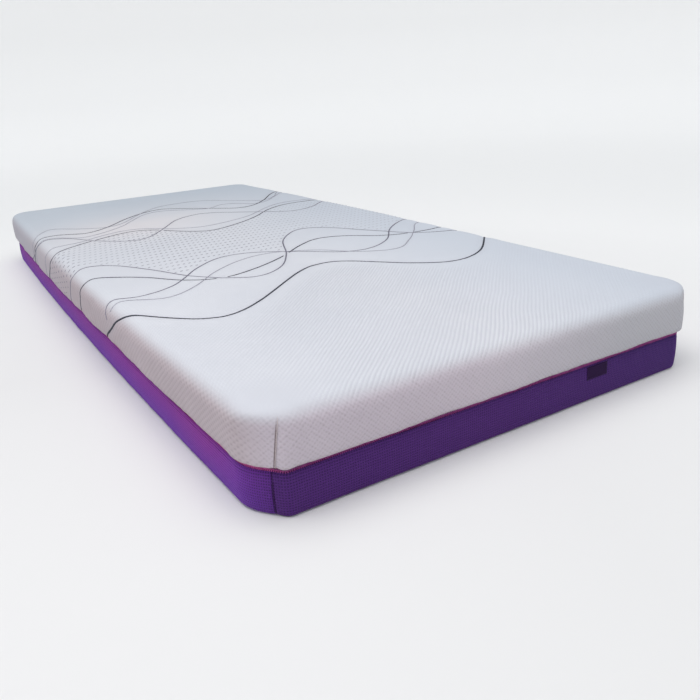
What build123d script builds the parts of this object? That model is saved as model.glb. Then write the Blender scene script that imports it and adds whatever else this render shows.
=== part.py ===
"""Pressure relief foam mattress with a zip-off stretch cover.

Frame: origin at the centre of the underside, +X across the width, +Y towards the
head end, +Z up. All lengths are in millimetres.
"""
from build123d import *
import os

# ---- driving dimensions -------------------------------------------------------
LENGTH = 2030.0            # head to foot, long single size
WIDTH = 920.0              # widest point, half way along
HEIGHT = 160.0
SIDE_CROWN = 14.0          # how far each long side bows out between its corners
CORNER_RADIUS = 80.0       # in plan
TOP_EDGE_RADIUS = 30.0
ZIP_HEIGHT = 71.0          # middle of the zip chain above the underside
ZIP_WINDOW = 10.0          # clear height between the two hems
BORDER_INSET = 6.0         # the purple border stands this far inside the white cover

COVER_THICKNESS = 2.5
COVER_HEM_RADIUS = 8.0     # the white cover rolls in towards its hem
COVER_LIP_INSET = 9.0
COVER_SEAM_TOP = 150.0
COVER_SEAM_ANGLE = 57.0    # each upright seam's plane, in degrees from the width direction
MEMBRANE_THICKNESS = 0.8
MEMBRANE_GAP = 0.3
MEMBRANE_LIFT = 6.0        # lower edge of the membrane above the cover's hem

BORDER_THICKNESS = 3.0
BORDER_FOOT_RADIUS = 8.0
BASE_THICKNESS = 2.5
BORDER_TURN_UNDER = 22.0   # the border wraps under the mattress to this inset
BORDER_SEAM_ANGLE = 49.5
BASE_SEAM_WIDTH = 2.85     # flat seam between the border and the underside panel
BASE_SEAM_LOW = 0.4
SEAM_WIDTH = 0.5
SEAM_GAP = 0.6             # slit in the fabric that a corner seam fills
SEAM_PROUD = 0.6
SEAM_LIFT = 0.3            # a corner seam's lower end above its fabric's lower edge
SEAM_SETBACK = 0.5         # a border seam's upper end below the hem

TAPE_THICKNESS = 0.8
TAPE_INSET = 9.3
TAPE_LENGTH = 20.0
COIL_INSET = 7.1
COIL_HEIGHT = 2.2
COIL_GAP = 1.4
COIL_CLEARANCE = 0.1       # between a coil and its tape
TAPE_SETBACK = 0.5         # a tape's edge behind its coil's edge

FOAM_INSET = 13.0
FOAM_TOP = 155.5
BASE_LAYER_TOP = 50.0
CORE_TOP = 112.0
LAYER_GAP = 0.3
BOLSTER_WIDTH = 75.0
FOAM_TOP_RADIUS = 22.0
FOAM_BASE_RADIUS = 4.0
CELL_PITCH_X = 75.0
CELL_PITCH_Y = 80.0
CELL_COUNT_X = 10
CELL_COUNT_Y = 23
CELL_SLOT = 4.0
CELL_DEPTH = 26.0

SLIDER_LENGTH = 16.0
SLIDER_WIDTH = 9.2
SLIDER_PARK = 8.8          # each slider's centre from the middle of the head end
PLATE_THICKNESS = 1.2
PLATE_CORNER = 2.0
JOIN_LAP = 0.2             # overlap between pieces fused into one solid
OUTER_PLATE_INSET = 5.5    # outer face of the slider's front plate
INNER_PLATE_INSET = 10.5   # outer face of the slider's rear plate
FLANGE_INSET = 8.9
FLANGE_THICKNESS = 1.0
FLANGE_LENGTH = 11.0
POST_THICKNESS = 0.6
POST_LENGTH = 4.0
POST_SETBACK = 0.5         # from the slider's end
BRIDGE_HALF_SPAN = 3.2
BRIDGE_LEG = 1.0
BRIDGE_BAR = 0.8
BRIDGE_WIDTH = 2.4
BRIDGE_EDGE_RADIUS = 0.7
BRIDGE_INSET = 2.0         # outer face of the bridge
PIVOT_INSET = 4.0
PULL_LENGTH = 32.0
PULL_WIDTH = 8.0
PULL_THICKNESS = 1.3
PULL_EYE = 6.6
PULL_RAIL = 1.8
PULL_CORNER = 3.0
PULL_HOLE = (9.0, 3.6)
PULL_HOLE_RADIUS = 1.75
PULL_HOLE_SETBACK = 8.0    # hole's middle from the grip's free end

SIZE_LABEL = (50.0, 23.0)  # width and height of the sewn label at the foot end
SIZE_LABEL_X = 186.0
CARE_LABEL = (46.0, 34.0)
CARE_LABEL_X = -250.0
LABEL_THICKNESS = 0.6
LABEL_CORNER = 1.0
SIZE_LABEL_TOP = 65.5
CARE_LABEL_TOP = 61.0

OVERCUT = 1.0              # how far a cutting block runs past what it cuts
BELOW_ZIP = ZIP_HEIGHT - ZIP_WINDOW / 2
ABOVE_ZIP = ZIP_HEIGHT + ZIP_WINDOW / 2


# ---- plan shapes --------------------------------------------------------------
def outline(inset):
    """The mattress in plan, drawn in from its widest size by inset."""
    x = WIDTH / 2 - SIDE_CROWN
    y = LENGTH / 2
    edges = [
        ThreePointArc((x, -y), (WIDTH / 2, 0), (x, y)),
        Line((x, y), (-x, y)),
        ThreePointArc((-x, y), (-WIDTH / 2, 0), (-x, -y)),
        Line((-x, -y), (x, -y)),
    ]
    face = make_face(edges)
    face = fillet(face.vertices(), CORNER_RADIUS)
    return offset(face, -inset, kind=Kind.ARC) if inset else face


def block(inset, low, high, top_radius=0.0, bottom_radius=0.0):
    """A prism of the outline between two heights, with rounded top and bottom edges."""
    solid = Pos(0, 0, low) * extrude(outline(inset), high - low)
    if top_radius:
        solid = fillet(solid.edges().group_by(Axis.Z)[-1], top_radius)
    if bottom_radius:
        solid = fillet(solid.edges().group_by(Axis.Z)[0], bottom_radius)
    return solid


def ring(outer_inset, inner_inset, low, high):
    """A band that runs all the way round between two insets."""
    return block(outer_inset, low, high) - block(inner_inset, low - OVERCUT, high + OVERCUT)


def corner_slots(angle, width, low, high):
    """A thin upright slab through each rounded corner, at an angle from the width direction."""
    reach = 2 * CORNER_RADIUS
    slabs = []
    for side in (-1, 1):
        for end in (-1, 1):
            centre = Pos(side * (WIDTH / 2 - SIDE_CROWN - CORNER_RADIUS),
                         end * (LENGTH / 2 - CORNER_RADIUS), (low + high) / 2)
            slab = Rot(0, 0, side * end * angle) * Pos(side * reach / 2, 0, 0) \
                * Box(reach, width, high - low)
            slabs.append(centre * slab)
    return slabs


def write(shape, name):
    """Write one node's solids, with its name, to the parts folder."""
    solids = shape.solids()
    node = solids[0] if len(solids) == 1 else Compound(children=list(solids))
    node.label = name
    export_step(node, f"parts/{name}.step")


# ---- purple lower cover -------------------------------------------------------
def border_shell(proud=0.0):
    """The whole border as one band that turns under at its lower edge."""
    low = SEAM_LIFT if proud else 0.0
    outer = block(BORDER_INSET - proud, low, BELOW_ZIP, bottom_radius=BORDER_FOOT_RADIUS)
    inner_radius = BORDER_FOOT_RADIUS - BORDER_THICKNESS
    hollow = block(BORDER_INSET + BORDER_THICKNESS, BASE_THICKNESS, BELOW_ZIP + OVERCUT,
                   bottom_radius=inner_radius)
    opening = block(BORDER_TURN_UNDER, -OVERCUT, BASE_THICKNESS + OVERCUT)
    return outer - hollow - opening


def make_border():
    """Four border panels and the seams that join them at the corners."""
    panels = border_shell()
    for slot in corner_slots(BORDER_SEAM_ANGLE, SEAM_GAP, -OVERCUT, BELOW_ZIP + OVERCUT):
        panels -= slot
    names = {"border_foot": (1, -1), "border_head": (1, 1),
             "border_left": (0, -1), "border_right": (0, 1)}
    for solid in panels.solids():
        centre = solid.bounding_box().center()
        for name, (axis, sign) in names.items():
            reach = centre.Y / LENGTH if axis else centre.X / WIDTH
            if reach * sign > 0.4:
                write(solid, name)

    seams = []
    proud_shell = border_shell(proud=SEAM_PROUD)
    for slot in corner_slots(BORDER_SEAM_ANGLE, SEAM_WIDTH, 1.0, BELOW_ZIP - SEAM_SETBACK):
        pieces = (proud_shell & slot).solids()
        seams += [max(pieces, key=lambda piece: piece.volume)]
    write(Compound(children=seams), "border_corner_seams")


def make_base():
    """The underside panel, with the flat seam that joins it to the border."""
    seam_outer = BORDER_TURN_UNDER + LAYER_GAP / 2
    seam_inner = seam_outer + BASE_SEAM_WIDTH
    write(block(seam_inner + LAYER_GAP, 0, BASE_THICKNESS), "base_panel")
    write(ring(seam_outer, seam_inner, BASE_SEAM_LOW, BASE_THICKNESS), "base_seam")


def make_labels():
    """Two plain sewn labels: one on the foot end, one on the head end."""
    face_y = LENGTH / 2 - BORDER_INSET + LABEL_THICKNESS / 2
    for name, size, x, top, end in (
            ("size_label", SIZE_LABEL, SIZE_LABEL_X, SIZE_LABEL_TOP, -1),
            ("care_label", CARE_LABEL, CARE_LABEL_X, CARE_LABEL_TOP, 1)):
        label = Box(size[0], LABEL_THICKNESS, size[1])
        label = fillet(label.edges().filter_by(Axis.Y), LABEL_CORNER)
        write(Pos(x, end * face_y, top - size[1] / 2) * label, name)


# ---- zip ----------------------------------------------------------------------
def make_zip_halves():
    """Woven tape and coil, one pair on the border and one pair on the cover."""
    tape_back = TAPE_INSET + TAPE_THICKNESS
    coil_back = TAPE_INSET - COIL_CLEARANCE
    for name, way in (("lower", -1), ("upper", 1)):
        coil_edge = ZIP_HEIGHT + way * COIL_GAP / 2
        coil = sorted((coil_edge, coil_edge + way * COIL_HEIGHT))
        tape_edge = coil_edge + way * TAPE_SETBACK
        tape = sorted((tape_edge, tape_edge + way * TAPE_LENGTH))
        write(ring(COIL_INSET, coil_back, *coil), f"zip_coil_{name}")
        write(ring(TAPE_INSET, tape_back, *tape), f"zip_tape_{name}")


def across(inset_outer, inset_inner):
    """Middle and depth, along Y at the head end, of a span between two insets."""
    return LENGTH / 2 - (inset_outer + inset_inner) / 2, inset_inner - inset_outer


def make_slider(side):
    """Slider body: two plates round the chain, a guide post and a bridge for the pull.

    The post's end faces the other slider, and the tail points away from it.
    """
    front_y, front_depth = across(OUTER_PLATE_INSET, OUTER_PLATE_INSET + PLATE_THICKNESS)
    rear_y, rear_depth = across(INNER_PLATE_INSET, INNER_PLATE_INSET + PLATE_THICKNESS)
    flange_y, flange_depth = across(OUTER_PLATE_INSET, FLANGE_INSET)
    post_y, post_depth = across(OUTER_PLATE_INSET + JOIN_LAP, INNER_PLATE_INSET + JOIN_LAP)
    bridge_y, bridge_depth = across(BRIDGE_INSET, OUTER_PLATE_INSET + JOIN_LAP)

    front = Box(SLIDER_LENGTH, front_depth, SLIDER_WIDTH)
    front = fillet(front.edges().filter_by(Axis.Y), PLATE_CORNER)
    rear = Box(SLIDER_LENGTH, rear_depth, SLIDER_WIDTH)
    rear = fillet(rear.edges().filter_by(Axis.Y), PLATE_CORNER)
    body = Pos(0, front_y, 0) * front + Pos(0, rear_y, 0) * rear
    flange = Box(FLANGE_LENGTH, flange_depth, FLANGE_THICKNESS)
    flange_z = (SLIDER_WIDTH - FLANGE_THICKNESS) / 2
    for way in (-1, 1):
        body += Pos(0, flange_y, way * flange_z) * flange
    post_x = -side * ((SLIDER_LENGTH - POST_LENGTH) / 2 - POST_SETBACK)
    body += Pos(post_x, post_y, 0) * Box(POST_LENGTH, post_depth, POST_THICKNESS)

    window = Box(2 * (BRIDGE_HALF_SPAN - BRIDGE_LEG), 2 * bridge_depth, BRIDGE_WIDTH + 2 * OVERCUT)
    bridge = Box(2 * BRIDGE_HALF_SPAN, bridge_depth, BRIDGE_WIDTH)
    bridge = fillet(bridge.edges().filter_by(Axis.Z).group_by(Axis.Y)[-1], BRIDGE_EDGE_RADIUS)
    bridge -= Pos(0, -bridge_depth / 2 - BRIDGE_BAR, 0) * window
    body += Pos(0, bridge_y, 0) * bridge
    return Pos(side * SLIDER_PARK, 0, ZIP_HEIGHT) * body


def make_pull(side):
    """Pull tab: an eye whose end bar turns under the bridge, and a flat grip."""
    grip_length = PULL_LENGTH - PULL_EYE
    grip = Box(grip_length, PULL_THICKNESS, PULL_WIDTH)
    grip = fillet(grip.edges().filter_by(Axis.Y).group_by(Axis.X)[-1], PULL_CORNER)
    hole = Box(PULL_HOLE[0], 2 * PULL_THICKNESS, PULL_HOLE[1])
    hole = fillet(hole.edges().filter_by(Axis.Y), PULL_HOLE_RADIUS)
    grip -= Pos(grip_length / 2 - PULL_HOLE_SETBACK, 0, 0) * hole
    pull = Pos(PULL_EYE + grip_length / 2, 0, 0) * grip
    for way in (-1, 1):
        rail = Box(PULL_EYE + JOIN_LAP, PULL_THICKNESS, PULL_RAIL)
        rail_x = (PULL_EYE + JOIN_LAP) / 2
        pull += Pos(rail_x, 0, way * (PULL_WIDTH - PULL_RAIL) / 2) * rail
    pull += Cylinder(PULL_THICKNESS / 2, PULL_WIDTH)
    if side < 0:
        pull = mirror(pull, about=Plane.YZ)
    return Pos(side * SLIDER_PARK, LENGTH / 2 - PIVOT_INSET, ZIP_HEIGHT) * pull


# ---- white top cover ----------------------------------------------------------
def make_top_cover():
    """Stretch knit cover with rolled-in hem, corner seams and its inner membrane."""
    outer = block(0, ABOVE_ZIP, HEIGHT, TOP_EDGE_RADIUS, COVER_HEM_RADIUS)
    inner = block(COVER_THICKNESS, ABOVE_ZIP + COVER_THICKNESS, HEIGHT - COVER_THICKNESS,
                  TOP_EDGE_RADIUS - COVER_THICKNESS, COVER_HEM_RADIUS - COVER_THICKNESS)
    mouth = block(COVER_LIP_INSET, ABOVE_ZIP - OVERCUT, ABOVE_ZIP + COVER_THICKNESS + OVERCUT)
    cover = outer - inner - mouth
    slit_top = COVER_SEAM_TOP + SEAM_GAP - SEAM_WIDTH
    for slot in corner_slots(COVER_SEAM_ANGLE, SEAM_GAP, ABOVE_ZIP - OVERCUT, slit_top):
        cover -= slot
    write(cover, "top_cover")

    seam_low = ABOVE_ZIP + SEAM_LIFT
    proud = block(-SEAM_PROUD, seam_low, HEIGHT, TOP_EDGE_RADIUS, COVER_HEM_RADIUS)
    seams = []
    for slot in corner_slots(COVER_SEAM_ANGLE, SEAM_WIDTH, seam_low, COVER_SEAM_TOP):
        pieces = ((proud - inner - mouth) & slot).solids()
        seams += [max(pieces, key=lambda piece: piece.volume)]
    write(Compound(children=seams), "top_cover_corner_seams")

    outer_inset = COVER_THICKNESS + MEMBRANE_GAP
    inner_inset = outer_inset + MEMBRANE_THICKNESS
    low = ABOVE_ZIP + COVER_HEM_RADIUS + MEMBRANE_LIFT
    membrane = block(outer_inset, low, HEIGHT - outer_inset, TOP_EDGE_RADIUS - outer_inset)
    membrane -= block(inner_inset, low - OVERCUT, HEIGHT - inner_inset,
                      TOP_EDGE_RADIUS - inner_inset)
    write(membrane, "waterproof_membrane")


# ---- foam ---------------------------------------------------------------------
def make_foam():
    """Firm base layer, a core inside four bolsters, and the cell-cut top layer."""
    write(block(FOAM_INSET, BASE_THICKNESS + LAYER_GAP, BASE_LAYER_TOP,
                bottom_radius=FOAM_BASE_RADIUS), "foam_base_layer")

    low = BASE_LAYER_TOP + LAYER_GAP
    core_x = WIDTH / 2 - SIDE_CROWN - FOAM_INSET - BOLSTER_WIDTH
    core_y = LENGTH / 2 - FOAM_INSET - BOLSTER_WIDTH
    core_size = (2 * core_x, 2 * core_y, CORE_TOP - low)
    middle = (low + CORE_TOP) / 2
    write(Pos(0, 0, middle) * Box(*core_size), "foam_core")

    frame = block(FOAM_INSET, low, CORE_TOP)
    frame -= Pos(0, 0, middle) * Box(core_size[0] + 2 * LAYER_GAP,
                                     core_size[1] + 2 * LAYER_GAP, 2 * core_size[2])
    end_depth = BOLSTER_WIDTH + LAYER_GAP
    for name, end in (("foam_bolster_foot", -1), ("foam_bolster_head", 1)):
        cutter_y = end * (core_y + LAYER_GAP + end_depth / 2)
        cutter = Pos(0, cutter_y, middle) * Box(WIDTH, end_depth, 2 * core_size[2])
        write(frame & cutter, name)
    for name, side in (("foam_bolster_left", -1), ("foam_bolster_right", 1)):
        cutter = Pos(side * WIDTH / 2, 0, middle) \
            * Box(WIDTH, 2 * core_y, 2 * core_size[2])
        write(frame & cutter, name)

    top = block(FOAM_INSET, CORE_TOP + LAYER_GAP, FOAM_TOP, FOAM_TOP_RADIUS)
    cut_depth = CELL_DEPTH + OVERCUT
    cut_z = FOAM_TOP + OVERCUT - cut_depth / 2
    span_x = CELL_COUNT_X * CELL_PITCH_X + CELL_SLOT
    span_y = CELL_COUNT_Y * CELL_PITCH_Y + CELL_SLOT
    cuts = []
    for i in range(CELL_COUNT_X + 1):
        x = (i - CELL_COUNT_X / 2) * CELL_PITCH_X
        cuts.append(Pos(x, 0, cut_z) * Box(CELL_SLOT, span_y, cut_depth))
    for j in range(CELL_COUNT_Y + 1):
        y = (j - CELL_COUNT_Y / 2) * CELL_PITCH_Y
        cuts.append(Pos(0, y, cut_z) * Box(span_x, CELL_SLOT, cut_depth))
    write(top - cuts, "foam_top_layer")


os.makedirs("parts", exist_ok=True)
make_base()
make_border()
make_labels()
make_foam()
make_zip_halves()
make_top_cover()
for side, name in ((-1, "left"), (1, "right")):
    write(make_slider(side), f"zip_slider_{name}")
    write(make_pull(side), f"zip_pull_{name}")
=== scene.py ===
"""Pressure relief mattress: the visual model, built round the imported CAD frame.

Metres, +X across the width, +Y towards the head end, +Z up.
"""
import math

import bpy
import numpy as np
from mathutils import Matrix, Vector, noise
from mathutils.bvhtree import BVHTree


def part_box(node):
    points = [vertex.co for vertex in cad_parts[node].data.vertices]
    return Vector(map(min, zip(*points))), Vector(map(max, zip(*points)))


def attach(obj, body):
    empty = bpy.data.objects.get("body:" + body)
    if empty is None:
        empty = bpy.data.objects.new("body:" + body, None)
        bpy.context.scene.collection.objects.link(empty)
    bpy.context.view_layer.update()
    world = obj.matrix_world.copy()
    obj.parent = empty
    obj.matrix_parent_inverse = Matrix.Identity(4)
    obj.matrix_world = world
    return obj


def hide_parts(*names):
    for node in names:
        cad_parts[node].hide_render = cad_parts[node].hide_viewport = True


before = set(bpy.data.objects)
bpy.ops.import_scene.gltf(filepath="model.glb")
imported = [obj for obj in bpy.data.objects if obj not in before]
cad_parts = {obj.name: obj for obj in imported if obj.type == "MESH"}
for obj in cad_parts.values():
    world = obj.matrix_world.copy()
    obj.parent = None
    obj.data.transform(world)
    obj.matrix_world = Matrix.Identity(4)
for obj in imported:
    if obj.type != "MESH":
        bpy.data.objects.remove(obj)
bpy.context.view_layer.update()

# ---- sizes, from the frame where it holds them --------------------------------
cover_low, cover_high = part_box("top_cover")
HALF_WIDTH = cover_high.x          # at the widest, half way along
HALF_LENGTH = cover_high.y
TOP = cover_high.z
HEM_Z = cover_low.z
BORDER_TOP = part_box("border_left")[1].z
ZIP_Z = (HEM_Z + BORDER_TOP) / 2
BORDER_INSET = HALF_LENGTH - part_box("border_head")[1].y
COIL_INSET = HALF_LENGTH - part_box("zip_coil_upper")[1].y
FOAM_INSET = HALF_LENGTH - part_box("foam_top_layer")[1].y

SIDE_CROWN = 0.014                 # how far the long sides bow out
CORNER_RADIUS = 0.080
TOP_EDGE_RADIUS = 0.030
HEM_ROLL = 0.008
COVER_THICKNESS = 0.0022
BORDER_THICKNESS = 0.0028
COVER_SEAM_TOP = 0.150
CLOTH_SPACING = 0.012
FLAT_ANGLE = math.radians(38)      # from the long side's normal, where each fabric corner goes flat
FLAT_REACH = 0.0800                # that flat's distance from the corner's centre
CORNER_FULLNESS = 0.0045           # how far the top's corners fill out past their round
COVER_SEAM_ANGLE = math.radians(54.5)  # at the hem
COVER_SEAM_LEAN = math.radians(7)  # how much further round the seam is at its top
BORDER_SEAM_ANGLE = math.radians(49.5)

EDGE_X = HALF_WIDTH - SIDE_CROWN - CORNER_RADIUS
EDGE_Y = HALF_LENGTH - CORNER_RADIUS
SIDE_ARC = TOP_EDGE_RADIUS * math.pi / 2

BASE_BODY = "mattress_base"
COVER_BODY = "cover"


# ---- the outline and meshes swept round it ------------------------------------
def ramp(value, low, high):
    """0 below low, 1 above high, smooth between."""
    t = np.clip((value - low) / (high - low), 0, 1)
    return t * t * (3 - 2 * t)


def crowned(x, y):
    """x with the long sides' outward bow added."""
    share = np.clip(x / EDGE_X, -1, 1)
    return x + SIDE_CROWN * (1 - (y / HALF_LENGTH) ** 2) * share


def stations(spacing, finer=1):
    """Stations round the outline, anticlockwise: inner point, outward normal and distance round
    the outline, with finer times as many in the corners."""
    n_end = round(2 * EDGE_X / spacing)
    n_side = round(2 * EDGE_Y / spacing)
    n_corner = 2 * finer * max(2, round(CORNER_RADIUS * math.pi / 4 / spacing))
    rows = []
    travelled = 0.0
    for normal in ((0, -1), (1, 0), (0, 1), (-1, 0)):
        travel = (-normal[1], normal[0])
        half, count = (EDGE_X, n_end) if normal[0] == 0 else (EDGE_Y, n_side)
        for j in range(count):
            along = -half + 2 * half * j / count
            base = (normal[0] * EDGE_X + travel[0] * along, normal[1] * EDGE_Y + travel[1] * along)
            rows.append((*base, *normal, travelled + 2 * half * j / count))
        travelled += 2 * half
        base = (normal[0] * EDGE_X + travel[0] * half, normal[1] * EDGE_Y + travel[1] * half)
        for j in range(n_corner):
            turn = math.pi / 2 * j / n_corner
            across = (normal[0] * math.cos(turn) + travel[0] * math.sin(turn),
                      normal[1] * math.cos(turn) + travel[1] * math.sin(turn))
            rows.append((*base, *across, travelled + CORNER_RADIUS * turn))
        travelled += CORNER_RADIUS * math.pi / 2
    rows = np.array(rows)
    return {"base": rows[:, :2], "normal": rows[:, 2:4], "s": rows[:, 4],
            "length": travelled, "n_end": n_end, "n_side": n_side, "n_corner": n_corner}


def corner_reach(angle):
    """How far the fabric reaches from a corner's centre: round, then flat, then a soft fold."""
    flat = FLAT_REACH / np.cos(angle - FLAT_ANGLE)
    face = CORNER_RADIUS / np.maximum(np.sin(angle), 0.5)
    sharpness = 900.0
    fold = -np.log(np.exp(-sharpness * flat) + np.exp(-sharpness * face)) / sharpness
    return np.where(angle < FLAT_ANGLE, CORNER_RADIUS, np.minimum(fold, face))


def place(st, inset, z):
    """Points of one ring of the outline at an inset and a height."""
    inset = np.broadcast_to(inset, len(st["s"]))
    z = np.broadcast_to(z, len(inset))
    angle = np.arctan2(np.abs(st["normal"][:, 1]), np.abs(st["normal"][:, 0]))
    fabric = (1 - ramp(z, 0.105, 0.152)) * (1 - ramp(inset, 0.010, 0.021))
    straight = (angle < 1e-6) | (angle > math.pi / 2 - 1e-6)
    extra = np.where(straight, 0, corner_reach(angle) - CORNER_RADIUS) * fabric
    full = np.where(straight, 0, np.sin(2 * angle)) * ramp(z, 0.105, 0.140)
    extra = extra + CORNER_FULLNESS * full ** 1.5 * (1 - ramp(inset, 0.030, 0.066))
    z = z + (TOP - z) * 0.55 * full * ramp(z, 0.130, 0.140)
    flat = st["base"] + st["normal"] * (CORNER_RADIUS - inset + extra)[:, None]
    x = crowned(flat[:, 0], flat[:, 1])
    return np.column_stack([x, flat[:, 1], z])


def cap(st, half_x, half_y, z):
    """Grid points over a rectangle, and the grid index of each station."""
    gx = np.linspace(-1, 1, st["n_end"] + 1)
    gy = np.linspace(-1, 1, st["n_side"] + 1)
    yy, xx = np.meshgrid(gy, gx, indexing="ij")
    y = yy.ravel() * half_y
    x = xx.ravel() * half_x
    x = x + SIDE_CROWN * (1 - (y / HALF_LENGTH) ** 2) * xx.ravel()
    column = np.rint((st["base"][:, 0] / EDGE_X + 1) / 2 * st["n_end"]).astype(int)
    row = np.rint((st["base"][:, 1] / EDGE_Y + 1) / 2 * st["n_side"]).astype(int)
    return np.column_stack([x, y, np.full(len(x), z)]), row * (st["n_end"] + 1) + column


def grid_faces(st, start, flip=False):
    """Quads of a cap's grid."""
    wide = st["n_end"] + 1
    faces = []
    for j in range(st["n_side"]):
        for i in range(st["n_end"]):
            a = start + j * wide + i
            quad = (a, a + 1, a + wide + 1, a + wide)
            faces.append(quad[::-1] if flip else quad)
    return faces


def join_rings(ring_a, ring_b):
    """Faces between two closed rings of vertex indices, a below b, outward facing."""
    n = len(ring_a)
    faces = []
    for i in range(n):
        j = (i + 1) % n
        loop = [ring_a[i], ring_a[j], ring_b[j], ring_b[i]]
        kept = [v for k, v in enumerate(loop) if v != loop[k - 1]]
        if len(kept) > 2:
            faces.append(tuple(kept))
    return faces


def sweep(st, rings, low_cap=None, high_cap=None):
    """Vertices and faces of rings joined in order, closed by caps (half_x, half_y, z)."""
    points, faces, start = [], [], 0
    previous = None
    if low_cap:
        grid, edge = cap(st, *low_cap)
        points.append(grid)
        faces += grid_faces(st, 0, flip=True)
        previous = edge
        start = len(grid)
    for ring in rings:
        index = np.arange(start, start + len(ring))
        points.append(ring)
        if previous is not None:
            faces += join_rings(previous, index)
        previous = index
        start += len(ring)
    if high_cap:
        grid, edge = cap(st, *high_cap)
        points.append(grid)
        faces += join_rings(previous, edge + start)
        faces += grid_faces(st, start)
    return np.vstack(points), faces


def make_object(name, points, faces, smooth=True):
    """A mesh object from points and faces."""
    mesh = bpy.data.meshes.new(name)
    mesh.from_pydata(np.asarray(points).tolist(), [], faces)
    mesh.validate()
    mesh.polygons.foreach_set("use_smooth", [smooth] * len(mesh.polygons))
    mesh.update()
    made = bpy.data.objects.new(name, mesh)
    bpy.context.scene.collection.objects.link(made)
    return made


def coordinates(obj):
    co = np.empty(len(obj.data.vertices) * 3)
    obj.data.vertices.foreach_get("co", co)
    return co.reshape(-1, 3)


def set_coordinates(obj, co):
    obj.data.vertices.foreach_set("co", np.asarray(co, float).ravel())
    obj.data.update()


def apply_modifiers(obj):
    """Replaces the object's mesh by the evaluated one and clears its modifiers."""
    graph = bpy.context.evaluated_depsgraph_get()
    mesh = bpy.data.meshes.new_from_object(obj.evaluated_get(graph), preserve_all_data_layers=True,
                                           depsgraph=graph)
    obj.modifiers.clear()
    obj.data = mesh


def finish_piece(obj, body, material, slot, *nodes):
    """Gives a piece its material and its body, and hides what it stands for. The slot argument is not used.
    """
    obj.data.materials.clear()
    obj.data.materials.append(material)
    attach(obj, body)
    if nodes:
        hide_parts(*nodes)
    return obj


def arc(centre_inset, centre_z, radius, start, end, steps):
    """(inset, z) points of a profile arc; 0 degrees faces out, 90 degrees up."""
    out = []
    for k in range(steps + 1):
        a = math.radians(start + (end - start) * k / steps)
        out.append((centre_inset - radius * math.cos(a), centre_z + radius * math.sin(a)))
    return out


def smooth_noise(values, wavelength, seed):
    """Repeatable smooth noise from -1 to 1 along a distance."""
    return np.array([noise.noise(Vector((v / wavelength, seed, 0.37 * seed))) for v in values])


def bump(distance, width):
    """1 at zero distance, falling smoothly to 0 past a width."""
    return np.exp(-(distance / width) ** 2)


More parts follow.
